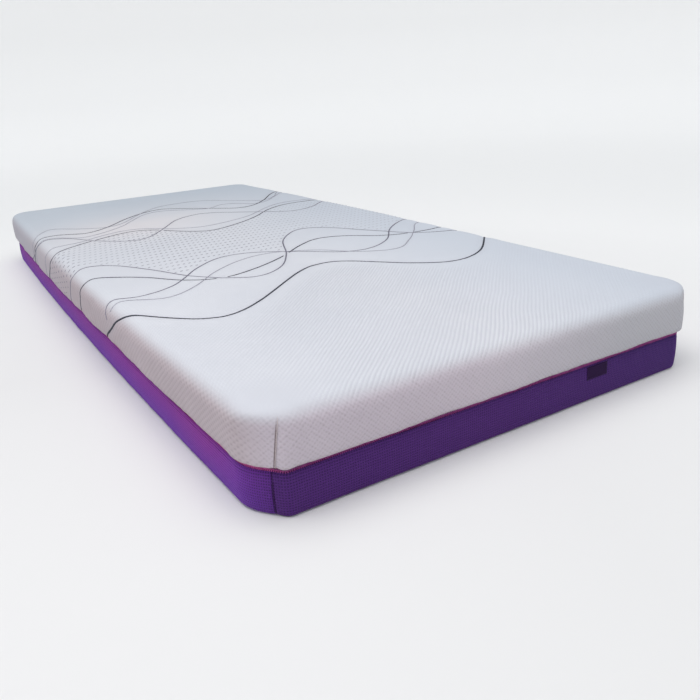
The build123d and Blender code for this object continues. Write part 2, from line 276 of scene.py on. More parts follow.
# ---- the wave pattern, in fabric coordinates ----------------------------------
# Across the width, then towards the head end. Past the flat top the first number
# goes on down the side of the mattress. Many of these points were worked out by
# another script and not chosen by hand, so they are more than the shapes need.
HEM_U = HALF_WIDTH - TOP_EDGE_RADIUS + SIDE_ARC + (TOP - TOP_EDGE_RADIUS - HEM_Z)
WAVES = {
    "foot_bold": (0.0056, "dark", [
        (-HEM_U, -0.32), (-0.487, -0.405), (-0.436, -0.487), (-0.385, -0.557), (-0.34, -0.599),
        (-0.29, -0.607), (-0.215, -0.562),
        (-0.07, -0.435), (0.0, -0.403), (0.06, -0.425), (0.155, -0.54), (0.235, -0.587),
        (0.33, -0.555), (0.44, -0.45), (HEM_U, -0.36)]),
    "middle_dark": (0.0048, "dark", [
        (-HEM_U, -0.11), (-0.494, -0.137), (-0.45, -0.163), (-0.41, -0.172), (-0.34, -0.235), (-0.28, -0.32),
        (-0.21, -0.36), (-0.13, -0.34), (-0.035, -0.285), (0.06, -0.205), (0.13, -0.17),
        (0.20, -0.195), (0.26, -0.255), (0.33, -0.285), (0.43, -0.285), (HEM_U, -0.24)]),
    "middle_loop": (0.0042, "grey", [
        (-HEM_U, -0.01), (-0.50, -0.032), (-0.454, -0.062), (-0.41, -0.045), (-0.36, -0.08), (-0.305, -0.185),
        (-0.25, -0.31), (-0.16, -0.40), (-0.08, -0.37), (-0.01, -0.265), (0.05, -0.13),
        (0.12, -0.045), (0.17, -0.03), (0.22, -0.07), (0.285, -0.195), (0.345, -0.295),
        (0.44, -0.345), (HEM_U, -0.33)]),
    "middle_cross": (0.0042, "grey", [
        (-0.480, -0.374), (-0.45, -0.357), (-0.39, -0.378), (-0.31, -0.345), (-0.22, -0.24),
        (-0.14, -0.183), (-0.06, -0.195), (0.03, -0.27), (0.10, -0.343), (0.17, -0.355),
        (0.25, -0.305), (0.33, -0.205), (0.42, -0.135), (HEM_U, -0.10)]),
    "middle_fine": (0.0030, "faint", [
        (-0.460, -0.388), (-0.42, -0.390), (-0.35, -0.425), (-0.28, -0.385), (-0.20, -0.30),
        (-0.11, -0.24), (-0.03, -0.23), (0.06, -0.28), (0.13, -0.37), (0.21, -0.405),
        (0.285, -0.35), (0.36, -0.27), (0.42, -0.20), (HEM_U, -0.14)]),
    "head_dark": (0.0048, "dark", [
        (-HEM_U, 0.27), (-0.483, 0.205), (-0.445, 0.185), (-0.40, 0.22), (-0.34, 0.26), (-0.23, 0.31),
        (-0.16, 0.29), (-0.09, 0.19), (-0.03, 0.15), (0.06, 0.185), (0.15, 0.25),
        (0.235, 0.335), (0.32, 0.38), (0.43, 0.375), (HEM_U, 0.33)]),
    "head_far": (0.0048, "dark", [
        (-HEM_U, 0.50), (-0.46, 0.43), (-0.39, 0.43), (-0.32, 0.395), (-0.25, 0.44),
        (-0.17, 0.535), (-0.09, 0.607), (-0.02, 0.63), (0.05, 0.57), (0.11, 0.505),
        (0.17, 0.445), (0.23, 0.45), (0.305, 0.52), (0.405, 0.65), (HEM_U, 0.74)]),
    "head_fine": (0.0030, "faint", [
        (-HEM_U, 0.50), (-0.45, 0.475), (-0.39, 0.54), (-0.32, 0.48), (-0.25, 0.44),
        (-0.19, 0.475), (-0.10, 0.60), (-0.02, 0.68), (0.045, 0.70), (0.12, 0.70),
        (0.17, 0.67), (0.237, 0.58), (0.30, 0.52), (0.37, 0.57), (0.43, 0.66), (HEM_U, 0.74)]),
    "head_low": (0.0030, "faint", [
        (-HEM_U, 0.45), (-0.45, 0.395), (-0.403, 0.385), (-0.345, 0.335), (-0.28, 0.36),
        (-0.21, 0.42), (-0.17, 0.475), (-0.10, 0.567), (-0.04, 0.59), (0.03, 0.55),
        (0.098, 0.512), (0.156, 0.547), (0.20, 0.537), (0.25, 0.478), (0.306, 0.496),
        (0.37, 0.565), (0.43, 0.63), (HEM_U, 0.70)]),
    "head_double": (0.0030, "faint", [
        (-HEM_U, 0.29), (-0.45, 0.255), (-0.40, 0.262), (-0.36, 0.273), (-0.30, 0.313),
        (-0.23, 0.34), (-0.17, 0.325), (-0.10, 0.255), (-0.041, 0.222), (0.014, 0.225),
        (0.073, 0.244), (0.143, 0.28), (0.24, 0.367), (0.298, 0.406), (0.357, 0.417),
        (0.44, 0.40), (HEM_U, 0.36)]),
    "head_cross": (0.0040, "grey", [
        (-HEM_U, 0.57), (-0.50, 0.475), (-0.455, 0.39), (-0.41, 0.375), (-0.37, 0.34),
        (-0.32, 0.25), (-0.25, 0.18), (-0.195, 0.195), (-0.125, 0.285), (-0.055, 0.385),
        (0.015, 0.43), (0.07, 0.425), (0.14, 0.365),
        (0.24, 0.27), (0.29, 0.245), (0.36, 0.27), (0.43, 0.33), (HEM_U, 0.39)]),
}


PASSES_UNDER = {"middle_dark": "middle_loop", "head_dark": "head_cross"}


def curve_through(points, step):
    """Evenly spaced points on a smooth curve through the given ones."""
    p = np.array(points, float)
    p = np.vstack([2 * p[0] - p[1], p, 2 * p[-1] - p[-2]])
    dense = []
    for k in range(1, len(p) - 2):
        a, b, c, d = p[k - 1:k + 3]
        t = np.linspace(0, 1, 24, endpoint=False)[:, None]
        dense.append(0.5 * (2 * b + (c - a) * t + (2 * a - 5 * b + 4 * c - d) * t ** 2
                            + (3 * b - a - 3 * c + d) * t ** 3))
    dense = np.vstack(dense + [p[-2:-1]])
    length = np.concatenate([[0], np.cumsum(np.linalg.norm(np.diff(dense, axis=0), axis=1))])
    even = np.linspace(0, length[-1], max(2, round(length[-1] / step)))
    return np.column_stack([np.interp(even, length, dense[:, k]) for k in (0, 1)])


def wave_height(name, u):
    """The wave's place towards the head end at each u."""
    line = curve_through(WAVES[name][2], 0.004)
    order = np.argsort(line[:, 0])
    return np.interp(u, line[order, 0], line[order, 1])


# ---- white knit cover ---------------------------------------------------------
def cover_profile():
    """(inset, z) from inside the hem, round it, up the side and on to the flat top."""
    steps = 5
    side_low = HEM_Z + HEM_ROLL
    side_high = TOP - TOP_EDGE_RADIUS
    out = [(0.0096, HEM_Z + 0.012), (0.0094, HEM_Z + 0.004)]
    out += arc(HEM_ROLL, side_low, HEM_ROLL, -80, 0, 4)
    out += [(0, side_low + (side_high - side_low) * k / steps) for k in range(1, steps)]
    out += arc(TOP_EDGE_RADIUS, side_high, TOP_EDGE_RADIUS, 0, 90, 6)
    out += [(0.040, TOP), (0.052, TOP), (0.066, TOP)]
    return out


def profile_drop(profile):
    """Distance down the fabric from the flat top's edge to each profile point."""
    p = np.array(profile)
    lengths = np.concatenate([[0], np.cumsum(np.linalg.norm(np.diff(p, axis=0), axis=1))])
    edge = int(np.argmin(np.abs(p[:, 0] - TOP_EDGE_RADIUS) + np.abs(p[:, 1] - TOP)))
    return lengths[edge] - lengths


def fabric_uv(st, profile):
    """Fabric coordinates of every ring vertex, once as part of a long side and once of an end."""
    drop = np.maximum(profile_drop(profile), -1)
    base, normal = st["base"], st["normal"]
    angle_side = np.arctan2(np.abs(normal[:, 1]), np.abs(normal[:, 0]))
    as_side, as_end = [], []
    for (inset, z), fall in zip(profile, drop):
        flat = base + normal * (CORNER_RADIUS - inset)
        x = crowned(flat[:, 0], flat[:, 1])
        y = flat[:, 1]
        mix = float(np.clip(fall / SIDE_ARC, 0, 1))
        in_corner = (np.abs(normal[:, 0]) > 1e-6) & (np.abs(normal[:, 1]) > 1e-6)
        edge_x = crowned(np.sign(base[:, 0]) * (EDGE_X + CORNER_RADIUS - TOP_EDGE_RADIUS), base[:, 1])
        edge_y = np.sign(base[:, 1]) * (EDGE_Y + CORNER_RADIUS - TOP_EDGE_RADIUS)
        down = max(fall, 0)
        side_u = edge_x + np.sign(edge_x) * down
        side_v = base[:, 1] + np.sign(base[:, 1]) * CORNER_RADIUS * angle_side * in_corner
        end_v = edge_y + np.sign(edge_y) * down
        angle_end = np.pi / 2 - angle_side
        end_u = base[:, 0] + np.sign(base[:, 0]) * CORNER_RADIUS * angle_end * in_corner
        if fall <= 0:
            as_side.append(np.column_stack([x, y]))
            as_end.append(np.column_stack([x, y]))
            continue
        keep_side = np.where(in_corner, mix, 1.0)[:, None]
        top_uv = np.column_stack([x, y])
        as_side.append(top_uv * (1 - keep_side) + np.column_stack([side_u, side_v]) * keep_side)
        as_end.append(top_uv * (1 - keep_side) + np.column_stack([end_u, end_v]) * keep_side)
    return np.vstack(as_side), np.vstack(as_end)


def give_uv(obj, st, ring_count, as_side, as_end):
    """Writes the fabric coordinates as the mesh's UV map, with the corner seams cut."""
    n = len(st["s"])
    angle = np.arctan2(np.abs(st["normal"][:, 1]), np.abs(st["normal"][:, 0]))
    is_end = angle > COVER_SEAM_ANGLE
    co = coordinates(obj)
    layer = obj.data.uv_layers.new(name="fabric")
    for face in obj.data.polygons:
        loops = list(face.loop_indices)
        verts = list(face.vertices)
        ring_verts = [v % n for v in verts if v < ring_count * n]
        end_share = sum(bool(is_end[v]) for v in ring_verts)
        table = as_end if ring_verts and end_share * 2 > len(ring_verts) else as_side
        for loop, v in zip(loops, verts):
            layer.data[loop].uv = table[v] if v < ring_count * n else co[v][:2]


def vertex_uv(obj):
    """One fabric coordinate for each vertex."""
    uv = np.empty(len(obj.data.loops) * 2)
    obj.data.uv_layers["fabric"].data.foreach_get("uv", uv)
    index = np.empty(len(obj.data.loops), int)
    obj.data.loops.foreach_get("vertex_index", index)
    out = np.zeros((len(obj.data.vertices), 2))
    out[index] = uv.reshape(-1, 2)
    return out


def hem_drop(s, x, y):
    """How far the hems close up towards the zip, away from the sliders' run."""
    near_run = ramp(HALF_LENGTH - y, 0.05, 0.13)
    wobble = 0.0007 * smooth_noise(s, 0.11, 3.1) + 0.0005 * smooth_noise(s, 0.045, 9.7)
    return near_run * (0.0026 + wobble)


def stretch(obj, pinned, limit, pressure, ease, frames=20):
    """Cloth simulation of eased fabric pushed out from inside; only its outward swell is kept."""
    start = coordinates(obj)
    normals = np.empty(len(start) * 3)
    obj.data.vertices.foreach_get("normal", normals)
    normals = normals.reshape(-1, 3)
    group = obj.vertex_groups.new(name="sewn")
    group.add([int(v) for v in pinned], 1.0, "REPLACE")
    cloth = obj.modifiers.new("cloth", "CLOTH")
    settings = cloth.settings
    settings.quality = 6
    settings.mass = 0.2
    settings.tension_stiffness = 18
    settings.compression_stiffness = 18
    settings.shear_stiffness = 6
    settings.bending_stiffness = 0.6
    settings.use_pressure = True
    settings.uniform_pressure_force = pressure
    settings.vertex_group_mass = "sewn"
    settings.shrink_min = -ease
    settings.effector_weights.gravity = 0
    cloth.point_cache.frame_start = 1
    cloth.point_cache.frame_end = frames
    for step in range(1, frames + 1):
        bpy.context.scene.frame_set(step)
    graph = bpy.context.evaluated_depsgraph_get()
    moved = np.array([v.co for v in obj.evaluated_get(graph).data.vertices])
    obj.modifiers.clear()
    obj.vertex_groups.clear()
    bpy.context.scene.frame_set(1)
    swell = np.clip(((moved - start) * normals).sum(axis=1), 0, limit)
    set_coordinates(obj, start + normals * swell[:, None])


def make_cover():
    """The stretch-knit cover: simulated, refined, then sewn down along its waves and seams."""
    st = stations(CLOTH_SPACING, finer=2)
    profile = cover_profile()
    drop = hem_drop(st["s"], *place(st, np.zeros(len(st["s"])), 0)[:, :2].T)
    rings = []
    for inset, z in profile:
        lowered = drop * (1 - ramp(z, HEM_Z, HEM_Z + 0.03))
        rings.append(place(st, np.full(len(st["s"]), inset), z - lowered))
    points, faces = sweep(st, rings, high_cap=(EDGE_X, EDGE_Y, TOP))
    cover = make_object("cover_knit", points, faces)
    as_side, as_end = fabric_uv(st, profile)
    give_uv(cover, st, len(profile), as_side, as_end)

    n = len(st["s"])
    pinned = [i for i in range(len(points)) if i < 4 * n or i >= (len(profile) - 3) * n]
    stretch(cover, pinned, limit=0.0020, pressure=3.0, ease=0.005)

    refine = cover.modifiers.new("refine", "SUBSURF")
    refine.levels = refine.render_levels = 1
    apply_modifiers(cover)
    shape_cover(cover)
    shell = cover.modifiers.new("thickness", "SOLIDIFY")
    shell.thickness = COVER_THICKNESS
    shell.offset = -1
    apply_modifiers(cover)
    return cover


def shape_cover(cover):
    """Wave grooves, soft fullness between them, seam tucks and puckers at the hem."""
    uv = vertex_uv(cover)
    co = coordinates(cover)
    normals = np.empty(len(co) * 3)
    cover.data.vertices.foreach_get("normal", normals)
    normals = normals.reshape(-1, 3)

    near = np.full(len(co), 1.0)
    groove = np.zeros(len(co))
    for width, tone, points in WAVES.values():
        line = curve_through(points, 0.004)
        distance = nearest(uv, line)
        near = np.minimum(near, distance)
        depth = 0.0011 if tone == "dark" else 0.0007
        groove = np.maximum(groove, depth * bump(distance, 0.006 + width))
    lowest = wave_height("foot_bold", uv[:, 0])
    patterned = ramp(uv[:, 1], lowest - 0.07, lowest - 0.03) * (1 - ramp(uv[:, 1], 0.68, 0.86))
    puff = 0.0016 * (1 - np.exp(-near / 0.035)) * patterned

    side_face = 1 - ramp(co[:, 2], TOP - 0.045, TOP - 0.01)
    turned_down = 1 - ramp(co[:, 2], TOP - 0.024, TOP - 0.002)
    s = perimeter_distance(co)
    gather = side_face * bump(np.maximum(co[:, 2] - HEM_Z, 0), 0.022)
    pucker = 0.0007 * smooth_noise(s, 0.016, 5.3) + 0.0019 * smooth_noise(s, 0.075, 1.9)
    roll = 0.0018 * smooth_noise(s, 0.21, 7.7) * side_face

    reach = 1 - ramp(co[:, 2], COVER_SEAM_TOP - 0.012, COVER_SEAM_TOP + 0.006)
    angle = cover_seam_angle(co[:, 2])
    past_x, past_y = np.abs(co[:, 0]) - EDGE_X, np.abs(co[:, 1]) - EDGE_Y
    across = np.abs(past_x * np.sin(angle) - past_y * np.cos(angle))
    along = past_x * np.cos(angle) + past_y * np.sin(angle)
    here = (along > CORNER_RADIUS * 0.6) * reach
    tuck = 0.0018 * bump(across, 0.0045) * here
    beside = 0.0004 * bump(across - 0.018, 0.014) * here

    shift = puff - groove + gather * pucker + roll - tuck + beside
    set_coordinates(cover, co + normals * shift[:, None])
    # Stored for the material, which paints shade along the wave grooves with it.
    store(cover, "groove", np.clip(groove / 0.0011, 0, 1))
    warm = bump(np.hypot((uv[:, 0] + 0.20) / 0.20, (uv[:, 1] - 0.38) / 0.17), 1.0)
    store(cover, "warm", warm)
    store(cover, "corner", ramp(past_x, -0.05, 0.03) * ramp(past_y, -0.05, 0.03))
    ribbed = (1 - ramp(uv[:, 1], lowest - 0.09, lowest - 0.015)) \
        * (0.35 + 0.65 * ramp(uv[:, 0], -0.42, -0.20)) * (1 - 0.75 * ramp(uv[:, 0], 0.02, 0.32))
    store(cover, "ribbed", ribbed)
    store(cover, "side", turned_down)


def store(obj, name, values):
    """A value for each vertex that the material reads."""
    attribute = obj.data.attributes.new(name, "FLOAT", "POINT")
    attribute.data.foreach_set("value", np.asarray(values, np.float32))


def nearest(points, line):
    """Distance of each point from a polyline's closest point."""
    out = np.full(len(points), 1.0)
    low = line.min(axis=0) - 0.06
    high = line.max(axis=0) + 0.06
    inside = np.flatnonzero(((points > low) & (points < high)).all(axis=1))
    for chunk in np.array_split(inside, max(1, len(inside) // 4000)):
        gap = points[chunk][:, None, :] - line[None, ::2, :]
        out[chunk] = np.sqrt((gap ** 2).sum(axis=2)).min(axis=1)
    return out


def perimeter_distance(co):
    """Distance round the outline of the nearest station to each point."""
    st = stations(0.004)
    ring = place(st, np.zeros(len(st["s"])), 0)[:, :2]
    out = np.zeros(len(co))
    outer = np.flatnonzero((np.abs(co[:, 0]) > EDGE_X) | (np.abs(co[:, 1]) > EDGE_Y))
    for chunk in np.array_split(outer, max(1, len(outer) // 2000)):
        gap = ((co[chunk][:, None, :2] - ring[None]) ** 2).sum(axis=2)
        out[chunk] = st["s"][gap.argmin(axis=1)]
    return out


def cover_seam_angle(z):
    """The white seam's angle from the long side's normal at a height."""
    return COVER_SEAM_ANGLE + COVER_SEAM_LEAN * (z - HEM_Z) / (COVER_SEAM_TOP - HEM_Z)


def border_seam_angle(_):
    """The purple seam is upright, so its angle is the same at every height."""
    return BORDER_SEAM_ANGLE


# ---- finding the cover's surface for what is sewn on it -----------------------
def fabric_place(u, v):
    """Nominal surface point and outward normal at a fabric coordinate on the top or long sides."""
    edge = crowned(np.array([math.copysign(EDGE_X + CORNER_RADIUS - TOP_EDGE_RADIUS, u)]),
                   np.array([v]))[0]
    over = abs(u) - abs(edge)
    side = math.copysign(1, u)
    if over <= 0:
        return Vector((u, v, TOP)), Vector((0, 0, 1))
    if over < SIDE_ARC:
        a = over / TOP_EDGE_RADIUS
        normal = Vector((side * math.sin(a), 0, math.cos(a)))
        centre = Vector((edge, v, TOP - TOP_EDGE_RADIUS))
        return centre + normal * TOP_EDGE_RADIUS, normal
    normal = Vector((side, 0, 0))
    z = TOP - TOP_EDGE_RADIUS - (over - SIDE_ARC)
    return Vector((edge + side * TOP_EDGE_RADIUS, v, z)), normal


def on_surface(tree, u, v):
    """The cover's real surface point and normal at a fabric coordinate."""
    point, normal = fabric_place(u, v)
    hit, face_normal, _, _ = tree.ray_cast(point + normal * 0.03, -normal, 0.06)
    if hit is None:
        return point, normal
    return hit, normal


def make_waves(tree):
    """Raised threads along the waves: flat ribbons that follow the knit over the edges."""
    made = {}
    for tone in ("dark", "grey", "faint"):
        points, faces = [], []
        for name, (width, line_tone, control) in WAVES.items():
            if line_tone == tone:
                line = curve_through(control, 0.0035)
                line = line[np.abs(line[:, 0]) < HEM_U - 0.004]
                for run in visible_runs(name, line):
                    add_ribbon(points, faces, ribbon_rows(tree, run, width))
        made[tone] = make_object(f"cover_waves_{tone}", [tuple(p) for p in points], faces)
    return made


def visible_runs(name, line):
    """The stretches of a wave that aren't under the wave it passes beneath."""
    over = PASSES_UNDER.get(name)
    if not over:
        return [line]
    clear = nearest(line, curve_through(WAVES[over][2], 0.004)) > 0.0065
    breaks = np.flatnonzero(np.diff(clear.astype(int))) + 1
    return [part for part in np.split(line, breaks) if len(part) > 3
            and nearest(part, curve_through(WAVES[over][2], 0.004)).min() > 0.0065]


def ribbon_rows(tree, line, width):
    """Cross sections of a ribbon laid along a line of fabric coordinates."""
    rows = []
    for k, (u, v) in enumerate(line):
        here, normal = on_surface(tree, u, v)
        ahead, _ = on_surface(tree, *line[min(k + 1, len(line) - 1)])
        behind, _ = on_surface(tree, *line[max(k - 1, 0)])
        across = (ahead - behind).normalized().cross(normal).normalized()
        half = width / 2 * (1 + 0.10 * noise.noise(Vector((k * 0.31, width * 900, 0))))
        rows.append([here + across * half * w + normal * h
                     for w, h in ((-1.0, -0.0007), (-0.72, 0.0004), (0, 0.0008),
                                  (0.72, 0.0004), (1.0, -0.0007))])
    return rows


def add_ribbon(points, faces, rows):
    """Adds a closed strip through cross sections, capped at both ends."""
    start, wide = len(points), len(rows[0])
    for row in rows:
        points += [tuple(p) for p in row]
    for k in range(len(rows) - 1):
        for c in range(wide):
            d = (c + 1) % wide
            a = start + k * wide
            faces.append((a + c, a + d, a + wide + d, a + wide + c))
    last = start + (len(rows) - 1) * wide
    faces.append(tuple(start + c for c in reversed(range(wide))))
    faces.append(tuple(last + c for c in range(wide)))


DASH_PITCH = (0.0130, 0.0290)
DASH_SIZE = (0.0105, 0.0062)


def make_dashes(tree):
    """Small dark knit stitches in a half-drop grid between two of the waves."""
    points, faces = [], []
    rows = int(0.8 / DASH_PITCH[1])
    columns = int(2 * HEM_U / DASH_PITCH[0])
    for j in range(rows):
        v = -0.42 + j * DASH_PITCH[1]
        for i in range(columns):
            u = -HEM_U + 0.012 + (i + 0.5 * (j % 2)) * DASH_PITCH[0]
            if abs(u) > HEM_U - 0.012:
                continue
            low = max(wave_at["middle_loop"](u), wave_at["middle_cross"](u),
                      wave_at["middle_dark"](u))
            high = wave_at["head_dark"](u)
            if not low + 0.014 < v < high - 0.012:
                continue
            here, normal = on_surface(tree, u, v)
            tilt = 0.35 + 0.2 * noise.noise(Vector((u * 40, v * 40, 0)))
            across = Vector((math.cos(tilt), math.sin(tilt), 0))
            across = (across - normal * across.dot(normal)).normalized()
            other = normal.cross(across).normalized()
            length = DASH_SIZE[0] / 2 * (1 + 0.15 * noise.noise(Vector((u * 70, v * 90, 2))))
            half = DASH_SIZE[1] / 2
            start = len(points)
            outline = ((-1, 0), (-0.6, -1), (0.6, -1), (1, 0), (0.6, 1), (-0.6, 1))
            for a, b in outline:
                points.append(here + across * length * a + other * half * b - normal * 0.0006)
            points.append(here + across * length * -0.45 + normal * 0.0006)
            points.append(here + across * length * 0.45 + normal * 0.0006)
            for ring in ((0, 1, 6), (1, 2, 7, 6), (2, 3, 7), (3, 4, 7), (4, 5, 6, 7), (5, 0, 6),
                         (5, 4, 3, 2, 1, 0)):
                faces.append(tuple(start + r for r in ring))
    return make_object("cover_dashes", [tuple(p) for p in points], faces)


def wave_lookup():
    """A function of u for each wave, for fast use."""
    table = {}
    for name in WAVES:
        line = curve_through(WAVES[name][2], 0.004)
        order = np.argsort(line[:, 0])
        xs, ys = line[order, 0], line[order, 1]
        table[name] = lambda u, xs=xs, ys=ys: float(np.interp(u, xs, ys))
    return table


wave_at = wave_lookup()


# ---- sewing -------------------------------------------------------------------
def bar(centre, along, across, out, half_long, half_wide, half_high):
    """Eight corners and six faces of a small tapered bar, such as one stitch."""
    corners = []
    for a in (-1, 1):
        for b, c in ((-1, -1), (1, -1), (1, 1), (-1, 1)):
            corners.append(centre + along * half_long * a + across * half_wide * b
                           + out * half_high * c)
    faces = [(3, 2, 1, 0), (4, 5, 6, 7), (0, 1, 5, 4), (1, 2, 6, 5), (2, 3, 7, 6), (3, 0, 4, 7)]
    return corners, faces


def stitch_row(name, tree, z_of, pitch, length, thick, lean=0.0):
    """A row of stitches right round, laid on a surface found by looking inwards."""
    st = stations(pitch)
    ring = place(st, np.zeros(len(st["s"])), 0)
    points, faces = [], []
    n = len(ring)
    for i in range(n):
        out = Vector((*st["normal"][i], 0))
        z = z_of(ring[i], st["s"][i])
        start = Vector((ring[i][0], ring[i][1], z)) + out * 0.03
        hit, normal, _, _ = tree.ray_cast(start, -out, 0.06)
        if hit is None:
            continue
        along = Vector((-out.y, out.x, lean)).normalized()
        outward = normal if normal.dot(out) > 0 else -normal
        across = outward.cross(along).normalized()
        corners, quads = bar(hit + outward * thick * 0.25, along, across, outward,
                             length / 2, thick / 2, thick / 2)
        add_solid(points, faces, corners, quads)
    return make_object(name, points, faces)


def surface_tree(obj):
    mesh = obj.data
    return BVHTree.FromPolygons([v.co for v in mesh.vertices], [p.vertices for p in mesh.polygons])


def add_solid(points, faces, corners, quads):
    """Add one small solid's corners and faces to a mesh that is being gathered."""
    base = len(points)
    points += [tuple(c) for c in corners]
    faces += [tuple(base + q for q in quad) for quad in quads]


def make_corner_seams(name, tree, angle_at, low, high, proud, half_wide):
    """Upright seams: a narrow rolled lip at each corner with threads wrapped over it."""
    points, faces = [], []
    steps = 40
    thread_pitch = 0.0024

    def seam_point(sx, sy, z):
        angle = angle_at(z)
        out = Vector((sx * math.cos(angle), sy * math.sin(angle), 0))
        start = Vector((sx * EDGE_X, sy * EDGE_Y, z)) + out * (CORNER_RADIUS + 0.03)
        hit = tree.ray_cast(start, -out, 0.10)[0]
        return hit, out, Vector((-out.y, out.x, 0))

    for sx, sy in ((-1, -1), (1, -1), (1, 1), (-1, 1)):
        rows = []
        for k in range(steps + 1):
            t = k / steps
            hit, out, side = seam_point(sx, sy, low + (high - low) * t)
            if hit is None:
                continue
            middle = hit + side * 0.0007 * noise.noise(Vector((t * 5, sx * 9, sy * 7)))
            fade = min(1.0, (1 - t) * 8 + 0.15)
            rows.append([middle + side * half_wide * a * fade + out * (b * proud * fade)
                         for a, b in ((-1, -0.9), (-0.6, 0.5), (0, 1.0), (0.6, 0.5), (1, -0.9))])
        add_ribbon(points, faces, rows)
        count = int((high - low - 0.012) / thread_pitch)
        for k in range(count):
            hit, out, side = seam_point(sx, sy, low + 0.002 + k * thread_pitch)
            if hit is None:
                continue
            slant = (side + Vector((0, 0, 0.35))).normalized()
            corners, quads = bar(hit + out * proud * 0.9, slant, Vector((0, 0, 1)), out,
                                 half_wide * 1.15, 0.00035, 0.0004)
            add_solid(points, faces, corners, quads)
    return make_object(name, points, faces)


# ---- zip ----------------------------------------------------------------------
TOOTH_PITCH = 0.0016


def make_coil(name, node, way):
    """One side of the zip: a row of rounded teeth that reach across the middle."""
    low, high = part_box(node)
    st = stations(TOOTH_PITCH)
    outer = COIL_INSET
    depth = 0.0021
    mid_inset = outer + depth / 2
    ring = place(st, np.full(len(st["s"]), mid_inset), 0)
    tip_z = ZIP_Z - way * 0.0007
    root_z = high.z if way > 0 else low.z
    points, faces = [], []
    profile = ((0.0, 1.0), (0.5, 1.0), (0.86, 0.86), (1.0, 0.45))
    n = len(ring)
    for i in range(n):
        if (i % 2 == 0) != (way > 0):
            continue
        out = Vector((*st["normal"][i], 0))
        along = Vector((-out.y, out.x, 0))
        centre = Vector(ring[i])
        base = len(points)
        for share, size in profile:
            z = root_z + (tip_z - root_z) * share
            for a in range(6):
                angle = a * math.pi / 3
                sideways = along * math.cos(angle) * TOOTH_PITCH * 0.44 * size
                outwards = out * math.sin(angle) * depth / 2 * size
                points.append(tuple(Vector((centre.x, centre.y, z)) + (sideways + outwards)))
        for k in range(len(profile) - 1):
            for a in range(6):
                b = (a + 1) % 6
                quad = (base + k * 6 + a, base + k * 6 + b, base + (k + 1) * 6 + b, base + (k + 1) * 6 + a)
                faces.append(quad if way < 0 else quad[::-1])
        caps = (tuple(base + a for a in range(6)), tuple(base + 18 + a for a in range(6)))
        faces.append(caps[0][::-1] if way < 0 else caps[0])
        faces.append(caps[1] if way < 0 else caps[1][::-1])
    return make_object(name, points, faces)


def make_tape(name, node):
    """One side's woven tape: a thin band with a slightly ridged outer face."""
    low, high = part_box(node)
    inset = HALF_LENGTH - high.y
    thick = 0.0007
    st = stations(0.008)
    heights = np.linspace(low.z + 0.0003, high.z - 0.0003, 8)
    outer = [(inset + 0.00015 * (k % 2), z) for k, z in enumerate(heights)]
    inner = [(inset + thick, z) for z in heights[::-1]]
    rings = simple_rings(st, outer + inner)
    points, faces = sweep(st, rings + rings[:1])
    made = make_object(name, points, faces)
    fix_normals(made)
    return made


# ---- purple lower cover -------------------------------------------------------
def border_profile():
    """(inset, z) from the underside seam, round the foot and up to the zip."""
    turn = 0.0215
    foot = 0.008
    out = [(turn, 0.0012), (0.0175, 0.0003)]
    out += arc(BORDER_INSET + foot, foot, foot, -90, 0, 5)
    out += [(BORDER_INSET, z) for z in (0.016, 0.026, 0.036, 0.046, 0.056)]
    out += [(BORDER_INSET, BORDER_TOP - 0.0035), (BORDER_INSET + 0.0006, BORDER_TOP - 0.001),
            (BORDER_INSET + 0.0018, BORDER_TOP), (BORDER_INSET + 0.003, BORDER_TOP - 0.0035)]
    return out


